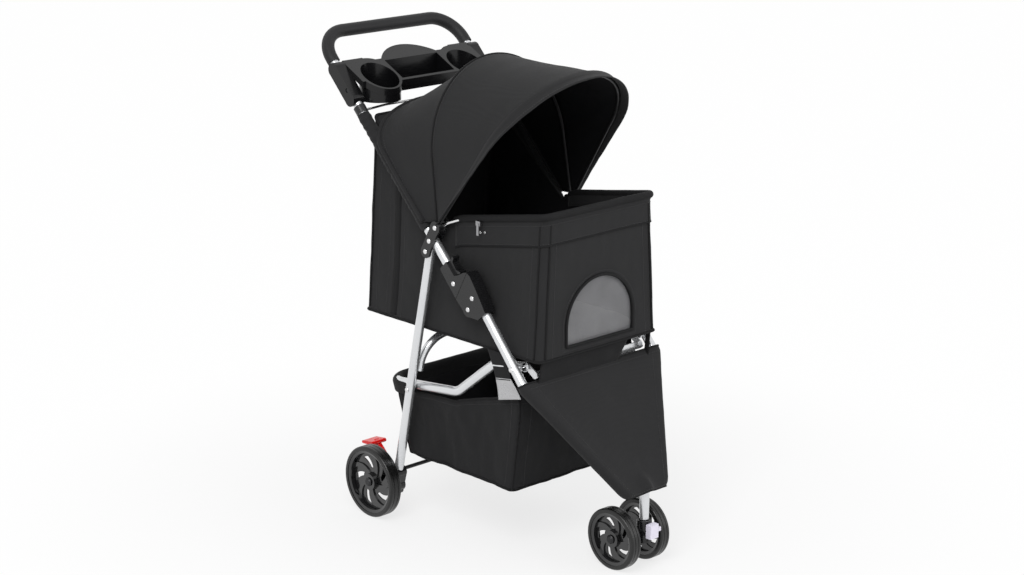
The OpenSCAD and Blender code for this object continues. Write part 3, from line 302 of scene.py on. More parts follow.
moulded_nylon = surface("moulded_nylon", (0.005, 0.005, 0.0055), (0.011, 0.011, 0.012), 0.2, 0.36, 1100.0, 0.00002,
                        specular=0.45)
dress(moulded_nylon, "caster_fork", "wire_clips", "cross_spacers",
      *both("fold_housing", "fold_knuckle", "latch", "hub_plate", "axle_bracket"))
tray_plastic = surface("tray_plastic", (0.003, 0.003, 0.0035), (0.007, 0.007, 0.0075), 0.16, 0.28, 900.0, 0.00001,
                       specular=0.32)
dress(tray_plastic, "cup_tray")
wheel_plastic = surface("wheel_plastic", (0.003, 0.003, 0.0035), (0.008, 0.008, 0.009), 0.1, 0.22, 400.0, 0.000006,
                        specular=0.6, coat=0.3)
dress(wheel_plastic, *both("front_rim", "rear_rim"))
brake_red = surface("brake_red", (0.78, 0.006, 0.006), (0.88, 0.010, 0.008), 0.22, 0.36, 700.0, 0.00001)
dress(brake_red, *both("brake_pedal"))
lock_pale = surface("lock_pale", (0.70, 0.67, 0.79), (0.82, 0.80, 0.88), 0.25, 0.4, 700.0, 0.00003)
dress(lock_pale, "caster_lock")

# ---- Tyres ---------------------------------------------------------------------------------------
# Solid EVA tyres, moulded in one piece each and stretched over the rims. The mould leaves them a closed
# skin with a dull gloss.

tyre_rubber = surface("tyre_rubber", (0.004, 0.004, 0.004), (0.010, 0.010, 0.0098), 0.24, 0.42, 1300.0, 0.00004,
                      specular=0.45)
dress(tyre_rubber, *both("front_tyre", "rear_tyre"))

# ---- Grip ----------------------------------------------------------------------------------------
# A tube of closed-cell foam, pushed over the top of the handle and held by its own stretch. Its cells
# show as a fine open grain.

foam_cells, given, made = effect("foam_cells", Dark=(0, 0, 0), Light=(0, 0, 0))
cells = foam_cells.nodes.new("ShaderNodeTexVoronoi")
feed(foam_cells, cells.inputs["Scale"], 900)
feed(foam_cells, cells.inputs["Vector"], foam_cells.nodes.new("ShaderNodeTexCoord").outputs["Object"])
soft_patch = speckle(foam_cells, 25.0, 3.0)
feed(foam_cells, made["Colour"], two_tone(foam_cells, soft_patch, given["Dark"], given["Light"]))
feed(foam_cells, made["Roughness"], maths(foam_cells, "MULTIPLY_ADD", soft_patch, 0.12, 0.46))
feed(foam_cells, made["Height"], cells.outputs["Distance"])
grip_foam = finish("grip_foam", foam_cells, {"Dark": (0.010, 0.010, 0.011), "Light": (0.018, 0.018, 0.019)},
                   0.00012, specular=0.25)
dress(grip_foam, "grip")

# ---- Cabin ----------------------------------------------------------------------------------------
# A tub of polyester Oxford cloth, padded with thin foam and quilted to a black lining. Its rim is rolled
# over a steel bar in front and hangs from the handle tubes behind; piping stiffens the corner seams.

# Plain-woven polyester: threads over and under, uneven yarn and a little dust, on faces of any slope
woven, given, made = effect("woven_cloth", Dark=(0, 0, 0), Light=(0, 0, 0), Threads=700.0, Yarn=0.35)
axes = woven.nodes.new("ShaderNodeSeparateXYZ")
scaled = woven.nodes.new("ShaderNodeVectorMath")
scaled.operation = "SCALE"
feed(woven, scaled.inputs[0], woven.nodes.new("ShaderNodeTexCoord").outputs["Object"])
feed(woven, scaled.inputs["Scale"], maths(woven, "MULTIPLY", given["Threads"], math.pi))
feed(woven, axes.inputs[0], scaled.outputs[0])
waves = [maths(woven, "SINE", axes.outputs[i]) for i in range(3)]
facing = woven.nodes.new("ShaderNodeSeparateXYZ")
feed(woven, facing.inputs[0], woven.nodes.new("ShaderNodeNewGeometry").outputs["Normal"])
weave = None
for i in range(3):
    across = maths(woven, "MULTIPLY", waves[(i + 1) % 3], waves[(i + 2) % 3])
    weight = maths(woven, "POWER", maths(woven, "ABSOLUTE", facing.outputs[i]), 2.0)
    part = maths(woven, "MULTIPLY", across, weight)
    weave = part if weave is None else maths(woven, "ADD", weave, part)
yarn = speckle(woven, 420.0)
patch = speckle(woven, 9.0, 3.0)
tone = maths(woven, "ADD", maths(woven, "MULTIPLY", yarn, given["Yarn"]), maths(woven, "MULTIPLY", patch, 0.6))
tone = maths(woven, "ADD", tone, maths(woven, "MULTIPLY", weave, 0.12), clamp=True)
feed(woven, made["Colour"], two_tone(woven, tone, given["Dark"], given["Light"]))
feed(woven, made["Roughness"], maths(woven, "MULTIPLY_ADD", patch, 0.12, 0.76))
feed(woven, made["Height"], maths(woven, "MULTIPLY_ADD", yarn, 0.5, weave))


def cloth(name, dark, light, bump, threads=700.0, **more):
    """A finish of woven cloth between two tones, with its threads per metre."""
    return finish(name, woven, {"Dark": dark, "Light": light, "Threads": threads}, bump, **more)


charcoal_oxford = cloth("charcoal_oxford", (0.010, 0.010, 0.0105), (0.022, 0.022, 0.023), 0.00018,
                        specular=0.2, sheen=0.05)
black_lining = cloth("black_lining", (0.005, 0.005, 0.006), (0.012, 0.012, 0.013), 0.0001, 900.0, specular=0.15)
black_binding = cloth("black_binding", (0.002, 0.002, 0.0025), (0.007, 0.007, 0.0075), 0.0001, 1300.0,
                      specular=0.3)
thread_grey = cloth("thread_grey", (0.04, 0.04, 0.042), (0.09, 0.09, 0.094), 0.00005, 1800.0,
                    specular=0.3, sheen=0.1)


def solid_piece(name, points, faces, material, inside=None, back_faces=()):
    """A mesh object with smooth shading; back_faces are the numbers of the faces in the second material."""
    mesh = bpy.data.meshes.new(name)
    mesh.from_pydata([tuple(p) for p in points], [], [tuple(int(i) for i in f) for f in faces])
    mesh.materials.append(material)
    if inside is not None:
        mesh.materials.append(inside)
        for i in back_faces:
            mesh.polygons[i].material_index = 1
    mesh.polygons.foreach_set("use_smooth", [True] * len(mesh.polygons))
    mesh.update()
    piece = bpy.data.objects.new(name, mesh)
    bpy.context.scene.collection.objects.link(piece)
    return piece


def grid_normals(grid, closed=False):
    """The unit normal at each point of a grid, whose rows may be closed rings."""
    if closed:
        return grid_normals(np.concatenate([grid[:, -1:], grid, grid[:, :1]], axis=1))[:, 1:-1]
    normal = np.cross(np.gradient(grid, axis=1), np.gradient(grid, axis=0))
    return normal / np.maximum(np.linalg.norm(normal, axis=2, keepdims=True), 1e-12)


def cloth_piece(name, grid, thickness, material, lining=None, closed=False, skip=None, facing=None):
    """A closed sheet of even thickness on a grid of points: its outer face, its lining and its edges.

    Its rows may be closed rings, skip masks the grid's cells that stay open, and facing is the way out.
    """
    if facing is not None and grid_normals(grid).mean(axis=(0, 1)) @ np.asarray(facing) < 0:
        grid = grid[:, ::-1]
    rows, columns = grid.shape[:2]
    inner = grid - thickness * grid_normals(grid, closed)
    points = np.concatenate([grid.reshape(-1, 3), inner.reshape(-1, 3)])
    count = rows * columns
    kept = np.ones((rows - 1, columns if closed else columns - 1), bool) if skip is None else ~skip
    framed = np.pad(kept, 1)
    if closed:
        framed[1:-1, 0], framed[1:-1, -1] = kept[:, -1], kept[:, 0]
    faces, back = [], []
    for r, c in zip(*np.nonzero(kept)):
        a, b, d, e = (i * columns + j % columns for i, j in ((r, c), (r, c + 1), (r + 1, c + 1), (r + 1, c)))
        faces.append((a, b, d, e))
        back.append(len(faces))
        faces.append((a + count, e + count, d + count, b + count))
        neighbours = framed[r, c + 1], framed[r + 2, c + 1], framed[r + 1, c], framed[r + 1, c + 2]
        for joined, (p, q) in zip(neighbours, ((a, b), (d, e), (e, a), (b, d))):
            if not joined:
                faces.append((q, p, p + count, q + count))
    used, corners = np.unique(np.array(faces), return_inverse=True)
    return solid_piece(name, points[used], corners.reshape(-1, 4), material, lining or material, back)


def spaced(path, count):
    """A path's points, taken again at even steps along it."""
    path = np.asarray(path, float)
    reach = np.concatenate([[0], np.cumsum(np.linalg.norm(np.diff(path, axis=0), axis=1))])
    return np.stack([np.interp(np.linspace(0, reach[-1], count), reach, path[:, i]) for i in range(3)], axis=1)


def evenly(path, step, closed=False):
    """Points along a path, about one step apart."""
    path = np.concatenate([path, path[:1]]) if closed else np.asarray(path, float)
    length = np.linalg.norm(np.diff(path, axis=0), axis=1).sum()
    points = spaced(path, max(2, int(round(length / step)) + 1))
    return points[:-1] if closed else points


def tube_points(path, radius, sides, closed, flat, up):
    """Rings of points round a path, kept from twisting; flat squeezes them along up."""
    path = np.asarray(path, float)
    ahead = np.roll(path, -1, axis=0) - np.roll(path, 1, axis=0)
    if not closed:
        ahead[0] = path[1] - path[0]
        ahead[-1] = path[-1] - path[-2]
    ahead /= np.maximum(np.linalg.norm(ahead, axis=1, keepdims=True), 1e-12)
    side = np.cross(ahead, np.asarray(up, float))
    weak = np.linalg.norm(side, axis=1) < 0.15
    side[weak] = np.cross(ahead[weak], (1.0, 0.0, 0.0))
    side /= np.linalg.norm(side, axis=1, keepdims=True)
    for i in range(1, len(path)):
        if side[i] @ side[i - 1] < 0:
            side[i] = -side[i]
    rise = np.cross(side, ahead)
    turn = (np.arange(sides) * 2 * math.pi / sides)[:, None]
    return path[:, None] + radius * (np.cos(turn) * side[:, None] + flat * np.sin(turn) * rise[:, None])


def tube_faces(rings, sides, start, closed):
    """Quads round a tube of rings, with its ends closed."""
    faces = []
    for i in range(rings if closed else rings - 1):
        a, b = start + i * sides, start + (i + 1) % rings * sides
        for k in range(sides):
            faces.append((a + k, a + (k + 1) % sides, b + (k + 1) % sides, b + k))
    if not closed:
        faces.append(tuple(start + k for k in reversed(range(sides))))
        faces.append(tuple(start + (rings - 1) * sides + k for k in range(sides)))
    return faces


def cords(name, paths, radius, material, sides=8, closed=False, flat=1.0, up=(0, 0, 1)):
    """Round cords, such as piping, along several paths, as one piece."""
    points, faces = [], []
    for path in paths:
        rings = tube_points(path, radius, sides, closed, flat, up)
        faces += tube_faces(len(path), sides, sum(len(p) for p in points), closed)
        points.append(rings.reshape(-1, 3))
    return solid_piece(name, np.concatenate(points), faces, material)


def stitches(name, paths, pitch=0.0052, length=0.0034, radius=0.00045):
    """Rows of sewn stitches along several paths, as one piece: each is a short spindle of thread."""
    points, faces = [], []
    for path in paths:
        places = evenly(path, pitch)
        ahead = np.gradient(places, axis=0)
        ahead /= np.linalg.norm(ahead, axis=1, keepdims=True)
        side = np.cross(ahead, (0.31, 0.52, 0.79))
        side /= np.linalg.norm(side, axis=1, keepdims=True)
        for p, a, s, u in zip(places, ahead, side, np.cross(ahead, side)):
            base = len(points)
            waist = [p + s * radius, p + u * radius, p - s * radius, p - u * radius]
            points += [p - a * length / 2, *waist, p + a * length / 2]
            for k in range(4):
                this, following = base + 1 + k, base + 1 + (k + 1) % 4
                faces += [(base, following, this), (base + 5, this, following)]
    return solid_piece(name, points, faces, thread_grey)


def fit(piece, body, slot, *replaced):
    """The piece rides on a body and stands for CAD nodes, which it hides; slot is not used."""
    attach(piece, body)
    if replaced:
        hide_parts(*replaced)

def cloth_noise(points, scale, seed):
    """A smooth uneven value from about -1 to 1 at each of an array's points."""
    offset = Vector((seed, 0, 0))
    values = [noise.fractal(Vector(p) * scale + offset, 0.8, 2.1, 3) for p in np.reshape(points, (-1, 3))]
    return np.reshape(values, np.shape(points)[:-1])


def smooth(x, low, high):
    """0 below low, 1 above high and a smooth step between."""
    t = np.clip((np.asarray(x, float) - low) / (high - low), 0, 1)
    return t * t * (3 - 2 * t)


tube_r = 0.0095
handle_up = Vector(joints["latch_left_slide"]["axis"]).normalized()
handle_out = Vector((0, -handle_up.z, handle_up.y))
fold_pivot = Vector(joints["fold"]["pos_m"])
canopy_pivot = Vector(joints["front_bow_fold"]["pos_m"])
side_x = (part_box("rear_leg_left")[0].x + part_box("rear_leg_left")[1].x) / 2


def on_handle(x, along, up):
    """A point beside a handle tube: along it from the fold pivot, and out from its middle line."""
    p = fold_pivot + handle_up * along + handle_out * up
    return np.array((x, p.y, p.z))


level = np.array((1, 1, 0))
upright = np.array((0, 0, 1.0))
cabin_low, cabin_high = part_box("cabin")
bar_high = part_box("rim_bar")[1]
wall_t = 0.0035
cabin_half = cabin_high.x
rim_half = 0.144
cabin_front, cabin_rear = cabin_low.y, cabin_high.y
cabin_floor = cabin_low.z
rim_front_z = bar_high.z - 0.0075
cabin_top_z = cabin_high.z + 0.004
rear_top_y = 0.2364
dip_y, dip_z = canopy_pivot.y - 0.006, canopy_pivot.z + 0.002
turn_y, turn_z = canopy_pivot.y - 0.042, canopy_pivot.z + 0.0198
corner_r = 0.014
corner_steps, wall_rows = 5, 44
cabin_steps = (46, 76)


def tub_ring(front, rear, half_front, half_rear, radius, steps):
    """The outline of a tub from above, as [x, y], from the middle of its rear round by its right side.

    The steps are those across its front and its rear, and those along each side.
    """
    fronts, sides = steps
    corners = [(-half_rear, rear, 90), (-half_front, front, 180), (half_front, front, 270), (half_rear, rear, 0)]
    points = [np.array((0.0, rear))]
    for (x, y, start), count in zip(corners, (fronts // 2, sides, fronts, sides)):
        centre = np.array((x - math.copysign(radius, x), y + (radius if y == front else -radius)))
        turns = np.radians(start + np.arange(corner_steps + 1) * 90 / corner_steps)
        arc = centre + radius * np.stack([np.cos(turns), np.sin(turns)], axis=1)
        last = points[-1]
        points += [last + (arc[0] - last) * (k / count) for k in range(1, count)] + list(arc)
    last, count = points[-1], fronts - fronts // 2
    points += [last + (points[0] - last) * (k / count) for k in range(1, count)]
    return np.array(points)


def corner_stations(steps):
    """The places in such an outline where its four rounded corners start."""
    fronts, sides = steps
    runs = (0, sides - 1, sides + fronts - 2, 2 * sides + fronts - 3)
    return [fronts // 2 + k * (corner_steps + 1) + run for k, run in enumerate(runs)]


def rim_height(y):
    """The height of the cabin's rim at a place along its side."""
    front = np.interp(-np.asarray(y), (-dip_y, -turn_y, -cabin_front), (dip_z, turn_z - 0.004, rim_front_z))
    behind = np.clip((y - dip_y) / (rear_top_y - dip_y), 0, 1)
    return np.where(y < dip_y, front, dip_z + (cabin_top_z - dip_z) * behind)


low_ring = tub_ring(cabin_front, cabin_rear, cabin_half, cabin_half, corner_r, cabin_steps)
plan = tub_ring(cabin_front + 0.002, rear_top_y, rim_half, cabin_half, corner_r, cabin_steps)
v = np.linspace(0, 1, wall_rows + 1)[:, None]
wall_z = cabin_floor + (rim_height(plan[:, 1]) - cabin_floor) * v
rear_share = np.clip((wall_z - cabin_floor) / (cabin_top_z - cabin_floor), 0, 1)
front_share = np.clip((wall_z - cabin_floor) / (rim_front_z - cabin_floor), 0, 1)
rearward = smooth(low_ring[:, 1], -0.15, 0.15)
share = (front_share * (1 - rearward) + rear_share * rearward)[..., None]
wall = np.concatenate([low_ring * (1 - share) + plan * share, wall_z[..., None]], axis=2)

# The panels sag between their seams and buckle a little where the frame pulls at them
outward = grid_normals(wall, closed=True)
uneven = cloth_noise(wall, 9.0, 3.0)
fine = cloth_noise(wall * np.array((1.0, 1.0, 0.35)), 30.0, 11.0)
from_corner = np.minimum.reduce([
    np.abs(wall[..., 1] - cabin_front), np.abs(wall[..., 1] - cabin_rear) + 0.01, np.full(wall.shape[:2], 0.12)])
slack = smooth(from_corner, 0.0, 0.10) * np.sin(np.pi * v) ** 0.7
front_slack = smooth(0.13 - np.abs(wall[..., 0]), -0.02, 0.08) * (np.abs(wall[..., 1] - cabin_front) < 0.03)
push = -0.004 * slack + 0.0022 * uneven * (0.35 + slack) + 0.0009 * fine - 0.0015 * front_slack * np.sin(np.pi * v)
wall += outward * push[..., None] * (np.abs(outward[..., 2:3]) < 0.9)
cabin_shell = cloth_piece("cabin_shell", wall, wall_t, charcoal_oxford, black_lining, closed=True)

# The window's arched opening, cut through the front wall
net_low, net_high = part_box("window_mesh")
window_half = net_high.x + 0.001
window_base = net_low.z + 0.005
window_top = net_high.z + 0.001


def window_arch(grow, y, steps=40):
    """The window's outline, from its lower right corner over the arch to its lower left corner."""
    r, spring = window_half + grow, window_top - window_half
    arch = [(-r * math.cos(math.pi * k / steps), y, spring + r * math.sin(math.pi * k / steps))
            for k in range(steps + 1)]
    return [(-r, y, window_base - grow), *arch, (r, y, window_base - grow)]


def settle(piece):
    """Replaces a piece's mesh by what its modifiers make of it."""
    bpy.context.view_layer.update()
    final = bpy.data.meshes.new_from_object(piece.evaluated_get(bpy.context.evaluated_depsgraph_get()))
    piece.modifiers.clear()
    piece.data = final


cut_points = window_arch(0, cabin_front - 0.03) + window_arch(0, cabin_front + 0.03)
cutter = solid_piece("window_cutter", cut_points, tube_faces(2, len(cut_points) // 2, 0, False), black_lining)
cut = cabin_shell.modifiers.new("cut", "BOOLEAN")
cut.operation = "DIFFERENCE"
cut.solver = "EXACT"
cut.object = cutter
settle(cabin_shell)
bpy.data.objects.remove(cutter)


def soft(piece, slot, *replaced, keep=0.25):
    """A cabin piece: it rides on the handle frame and gets a mesh of its own."""
    fit(piece, "handle_frame", slot, *replaced)
    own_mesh(piece)


soft(cabin_shell, "fabric", "cabin")


def on_wall(station, depth, out=0.0):
    """Points of the wall under the rim at given stations, a depth below the rim and out from the cloth."""
    column = wall[:, station]
    height = column[-1, 2] - column[0, 2]
    at = np.clip(1 - depth / height, 0, 1) * wall_rows
    low = int(min(at, wall_rows - 1))
    p = column[low] * (1 - (at - low)) + column[low + 1] * (at - low)
    n = outward[min(low + 1, wall_rows), station]
    return p + out * n


def tub_floor(front, rear, half, radius, height, belly, rows, columns, inset):
    """A tub's floor with rounded corners, as a grid that hangs by a belly in its middle."""
    u = np.linspace(-1, 1, columns)
    grid = np.zeros((rows, columns, 3))
    for i, y in enumerate(np.linspace(front + inset, rear - inset, rows)):
        from_arc = radius - min(y - front, rear - y, radius)
        grid[i, :, 0] = u * (half - radius + math.sqrt(radius ** 2 - from_arc ** 2))
        grid[i, :, 1] = y
        grid[i, :, 2] = height - belly * np.cos(u * math.pi / 2) * math.sin(math.pi * i / (rows - 1))
    return grid


# Floor of the cabin: the same cloth, hemmed to the walls and hanging a little between them
floor_grid = tub_floor(cabin_front, cabin_rear, cabin_half, corner_r, cabin_floor + 0.0012, 0.0035, 41, 31, 0.001)
cabin_base = cloth_piece("cabin_base", floor_grid, 0.003, charcoal_oxford, black_lining, facing=(0, 0, -1))
soft(cabin_base, "fabric")

# Rim band: a doubled strip that rolls over the steel bar in front and is stitched down outside
stations = [i for i in range(len(plan)) if plan[i, 1] < dip_y - 0.018]
band_depth, roll_r, bar_over_rim = 0.050, 0.0068, 0.004
band_rows = []
for i in stations:
    n = outward[-1, i] * level
    n /= np.linalg.norm(n)
    top = wall[-1, i]
    centre = top + n * 0.0006 + upright * bar_over_rim
    profile = [on_wall(i, d, 0.0014) for d in np.linspace(band_depth, 0.006, 12)]
    profile += [centre + roll_r * (math.cos(a) * n + math.sin(a) * upright)
                for a in np.radians(np.linspace(0, 180, 10))]
    profile += [top - n * (roll_r - 0.001) - upright * d for d in (0.006, 0.014, 0.022)]
    band_rows.append(profile)
rim_band = cloth_piece("rim_band", np.array(band_rows).transpose(1, 0, 2), 0.0011, charcoal_oxford)
soft(rim_band, "fabric")

# The roll round the bar itself, in black binding, and the bound edge of the rim behind the hubs
roll_path = [wall[-1, i] + outward[-1, i] * level * 0.0006 + upright * bar_over_rim for i in stations]
soft(cords("rim_roll", [roll_path], 0.0074, black_binding, sides=14), "fabric")
behind = [i for i in range(len(plan)) if plan[i, 1] >= dip_y - 0.02]
behind.sort(key=lambda i: (i + len(plan) // 2) % len(plan))
rear_rim_path = [wall[-1, i] - outward[-1, i] * wall_t / 2 for i in behind]
soft(cords("rim_binding", [rear_rim_path], 0.0036, black_binding, sides=10, flat=0.75), "fabric")

# Piping in the corner seams and round the floor
cabin_corners = corner_stations(cabin_steps)
seams = [[wall[r, start + j] + outward[r, start + j] * 0.0012 for r in range(1, wall_rows - 1)]
         for start in cabin_corners for j in (0, corner_steps)]
seams.append([on_wall(i, band_depth + 0.0005, 0.0008) for i in stations])
soft(cords("cabin_piping", seams, 0.0019, black_binding), "fabric")
foot_seam = wall[0] + outward[0] * 0.0008 + upright * 0.0012
soft(cords("base_piping", [foot_seam], 0.0021, black_binding, closed=True), "fabric")

# Strips of binding down both sides, where the folded cabin opens, and rows of stitches beside the seams
strip_y, strip_half = 0.168, 0.0125
seam_rows = [[on_wall(i, band_depth - 0.003, 0.0018) for i in stations], [on_wall(i, 0.011, 0.0018) for i in stations]]
for side, word in ((-1, "right"), (1, "left")):
    near = [i for i in range(len(plan))
            if plan[i, 0] * side > 0.13 and abs(wall[wall_rows // 2, i, 1] - strip_y) < strip_half]
    grid = np.array([[wall[r, i] + outward[r, i] * (0.0012 if near[0] < i < near[-1] else 0.0002) for i in near]
                     for r in range(1, wall_rows)])
    strip = cloth_piece("side_strip_" + word, grid, 0.001, black_binding, facing=(side, 0, 0))
    soft(strip, "fabric")
    seam_rows += [wall[1:-1, i] + outward[1:-1, i] * 0.0006 for i in (near[0] - 2, near[-1] + 2)]
seam_rows += [wall[1:-2, start + j] + outward[1:-2, start + j] * 0.0004
              for start in cabin_corners for j in (-3, corner_steps + 3)]
soft(stitches("cabin_stitches", seam_rows), "fabric")

# Two snap rings and an eyelet under the zip's slider, on each side of the rim
ring_turns = np.linspace(0, 2 * math.pi, 17)[:-1]
snaps = []
for side in (-1, 1):
    beside = [i for i in stations if plan[i, 0] * side > 0.13]
    for ahead, depth in ((0.086, 0.020), (0.093, 0.0235), (0.101, 0.0235)):
        i = min(beside, key=lambda k: abs(plan[k, 1] - canopy_pivot.y + ahead))
        across = np.cross(upright, outward[-1, i])
        middle = on_wall(i, depth, 0.0024)
        snaps.append([middle + 0.0019 * (math.cos(a) * across + math.sin(a) * upright) for a in ring_turns])
soft(cords("rim_snaps", snaps, 0.0007, bright_nickel, closed=True), "rivet")

# Window: a net of knitted polyester behind an arched frame of bound piping
grey_net, tree, shader = new_material("grey_net", {"Roughness": 0.7, "Specular IOR Level": 0.2})
axes = tree.nodes.new("ShaderNodeSeparateXYZ")
feed(tree, axes.inputs[0], tree.nodes.new("ShaderNodeTexCoord").outputs["Object"])
lines = [maths(tree, "ABSOLUTE", maths(tree, "SINE", maths(tree, "MULTIPLY", axes.outputs[i], math.pi / 0.0021)))
         for i in (0, 2)]
threads = maths(tree, "MAXIMUM", lines[0], lines[1])
feed(tree, shader.inputs["Alpha"], maths(tree, "GREATER_THAN", threads, 0.78))
net_tone = two_tone(tree, speckle(tree, 30.0, 3.0), (0.17, 0.17, 0.175), (0.27, 0.27, 0.28))
feed(tree, shader.inputs["Base Color"], net_tone)
relief(tree, shader, threads, 0.0003)
columns, levels = 25, 27
net = np.zeros((levels, columns, 3))
for j in range(columns):
    x = (j / (columns - 1) * 2 - 1) * (window_half + 0.004)
    top_z = window_top - window_half + math.sqrt(max((window_half + 0.005) ** 2 - x * x, 0))
    bow = 0.002 * math.sin(math.pi * j / (columns - 1))
    net[:, j, 0] = x
    net[:, j, 1] = cabin_front + 0.0045 + bow * np.sin(np.linspace(0, math.pi, levels))
    net[:, j, 2] = np.linspace(window_base - 0.005, top_z, levels)
window_net = cloth_piece("window_net", net, 0.0006, grey_net, facing=(0, -1, 0))
soft(window_net, "mesh", "window_mesh")


def on_front(grow, out):
    """A path round the window on the front wall, which leans back towards its rim."""
    path = evenly(window_arch(grow, 0), 0.004, closed=True)
    path[:, 1] = cabin_front - out + 0.002 * np.clip((path[:, 2] - cabin_floor) / (rim_front_z - cabin_floor), 0, 1)
    return path


soft(cords("window_piping", [on_front(0.001, 0.0017)], 0.0026, black_binding, closed=True, sides=10), "fabric")
soft(stitches("window_stitches", [on_front(grow, 0.0012) for grow in (0.0075, 0.010)]), "fabric")

# ---- Wheel webs and tread ----------------------------------------------------------------------
# Parts of the mouldings: a web with narrow curved slots closes the wheel between its spokes, and lugs
# stand on both shoulders of the tyre.

lug_profile = ((0.0058, 0.0003), (0.0026, 0.0005), (0.0006, 0.0024), (0.0, 0.0048), (0.0002, 0.0078))
lug_high, lug_slant, lug_steps = 0.0024, 0.6, (0.0, 0.9, 1.0, 1.0, 1.0, 0.9, 0.0, 0.0)
web_rows, web_columns, web_hub, web_off = 16, 150, 0.0165, 0.0012
slots = np.zeros((web_rows - 1, web_columns), bool)
slots[4:12] = (np.arange(web_columns) % 30 >= 12) & (np.arange(web_columns) % 30 < 19)


def read_box(name):
    """The middle of a node's box, its half width and its radius, for a part turned about X."""
    low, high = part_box(name)
    return (low + high) / 2, (high.x - low.x) / 2, (high.z - low.z) / 2


def wheel_point(middle, beside, out, turn):
    """A point of a wheel: beside its middle, out from its axle and round it from below."""
    return middle.x + beside, middle.y + out * math.sin(turn), middle.z - out * math.cos(turn)


for end, word, lugs in (("front", "left", 28), ("front", "right", 28), ("rear", "left", 34), ("rear", "right", 34)):
    tyre, rim, body = (f"{end}_{part}_{word}" for part in ("tyre", "rim", "wheel"))
    middle, half_width, radius = read_box(tyre)
    columns = lugs * len(lug_steps)
    for side, face in ((-1, "_inner"), (1, "_outer")):
        grid = np.zeros((len(lug_profile), columns, 3))
        for c in range(columns):
            sunk = lug_high * (1 - lug_steps[c % len(lug_steps)])
            for k, (inset, drop) in enumerate(lug_profile):
                turn = 2 * math.pi * (c + lug_slant * k) / columns
                grid[k, c] = wheel_point(middle, side * (half_width - inset - sunk), radius - drop - sunk, turn)
        lug_ring = cloth_piece(tyre + face + "_lugs", grid[:, ::side], 0.0008, tyre_rubber, closed=True)
        fit(lug_ring, body, "tyre")
    middle, _, radius = read_box(rim)
    inner = radius - 0.006
    side = 1 if middle.x > 0 else -1
    grid = np.zeros((web_rows, web_columns, 3))
    for k in range(web_rows):
        out = web_hub + (inner + 0.0008 - web_hub) * k / (web_rows - 1)
        curve = math.acos(min(out / (2 * inner * 0.62), 1))
        for c in range(web_columns):
            grid[k, c] = wheel_point(middle, side * web_off, out, 2 * math.pi * (c + 0.5) / web_columns + curve)
    web = cloth_piece(rim + "_web", grid[:, ::-side], 0.0026, wheel_plastic, closed=True, skip=slots)
    fit(web, body, "wheel_plastic")

# ---- Mat and board ---------------------------------------------------------------------------
# The floor board is fibreboard in a black cover, in two halves. The mat on it is white fleece over foam,
# sewn through in channels so that the filling stays in place.

board_cover = cloth("board_cover", (0.010, 0.010, 0.011), (0.022, 0.022, 0.023), 0.0001, 900.0, specular=0.2)
dress(board_cover, "floor_board")
white_fleece, tree, shader = new_material(
    "white_fleece", {"Specular IOR Level": 0.1, "Sheen Weight": 0.35, "Sheen Roughness": 0.6})
pile = speckle(tree, 260.0, 5.0, rough=0.7)
tufts = speckle(tree, 45.0, 3.0)
feed(tree, shader.inputs["Base Color"], two_tone(tree, tufts, (0.66, 0.65, 0.62), (0.82, 0.81, 0.79)))
feed(tree, shader.inputs["Roughness"], maths(tree, "MULTIPLY_ADD", tufts, 0.1, 0.85))
relief(tree, shader, maths(tree, "MULTIPLY_ADD", tufts, 0.8, pile), 0.003)

mat_low, mat_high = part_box("floor_mat")
mat_mid = (mat_low + mat_high) / 2
mat_size = (mat_high - mat_low) / 2
around, upwards, squareness = 72, 9, 8
mat_points = []
for k in range(upwards):
    tilt = math.radians(-90 + 180 * k / (upwards - 1))
    edge = 0.010 * (1 - math.cos(tilt) ** 0.5)
    for j in range(around):
        a = 2 * math.pi * j / around
        cx, cy = math.cos(a), math.sin(a)
        grow = (abs(cx) ** squareness + abs(cy) ** squareness) ** (-1 / squareness)
        mat_points.append((mat_mid.x + cx * grow * (mat_size.x - 0.006 - edge),
                           mat_mid.y + cy * grow * (mat_size.y - 0.006 - edge),
                           mat_mid.z + math.sin(tilt) * (mat_size.z - 0.005)))
mat = solid_piece("fleece_mat", mat_points, tube_faces(upwards, around, 0, False), white_fleece)


def read_points(mesh):
    """A mesh's points as an array."""
    points = np.zeros(len(mesh.vertices) * 3)
    mesh.vertices.foreach_get("co", points)
    return points.reshape(-1, 3)


def write_points(mesh, points):
    """Puts an array of points back into a mesh."""
    mesh.vertices.foreach_set("co", np.asarray(points, float).ravel())
    mesh.update()


def swell(piece, voxel, pressure, most, steps=20):
    """Fills a closed form with air as cloth, lets it settle, and caps how far a point may move."""
    remesh = piece.modifiers.new("even", "REMESH")
    remesh.mode = "VOXEL"
    remesh.voxel_size = voxel
    remesh.use_smooth_shade = True
    settle(piece)
    start = read_points(piece.data)
    swelling = piece.modifiers.new("swell", "CLOTH")
    swelling.settings.use_pressure = True
    swelling.settings.uniform_pressure_force = pressure
    swelling.settings.effector_weights.gravity = 0
    swelling.settings.quality = 4
    swelling.point_cache.frame_start = 1
    swelling.point_cache.frame_end = steps
    for step in range(1, steps + 1):
        bpy.context.scene.frame_set(step)
    settle(piece)
    moved = read_points(piece.data) - start
    far = np.linalg.norm(moved, axis=1, keepdims=True)
    write_points(piece.data, start + moved * np.minimum(1, most / np.maximum(far, 1e-9)))
    bpy.context.scene.frame_set(1)


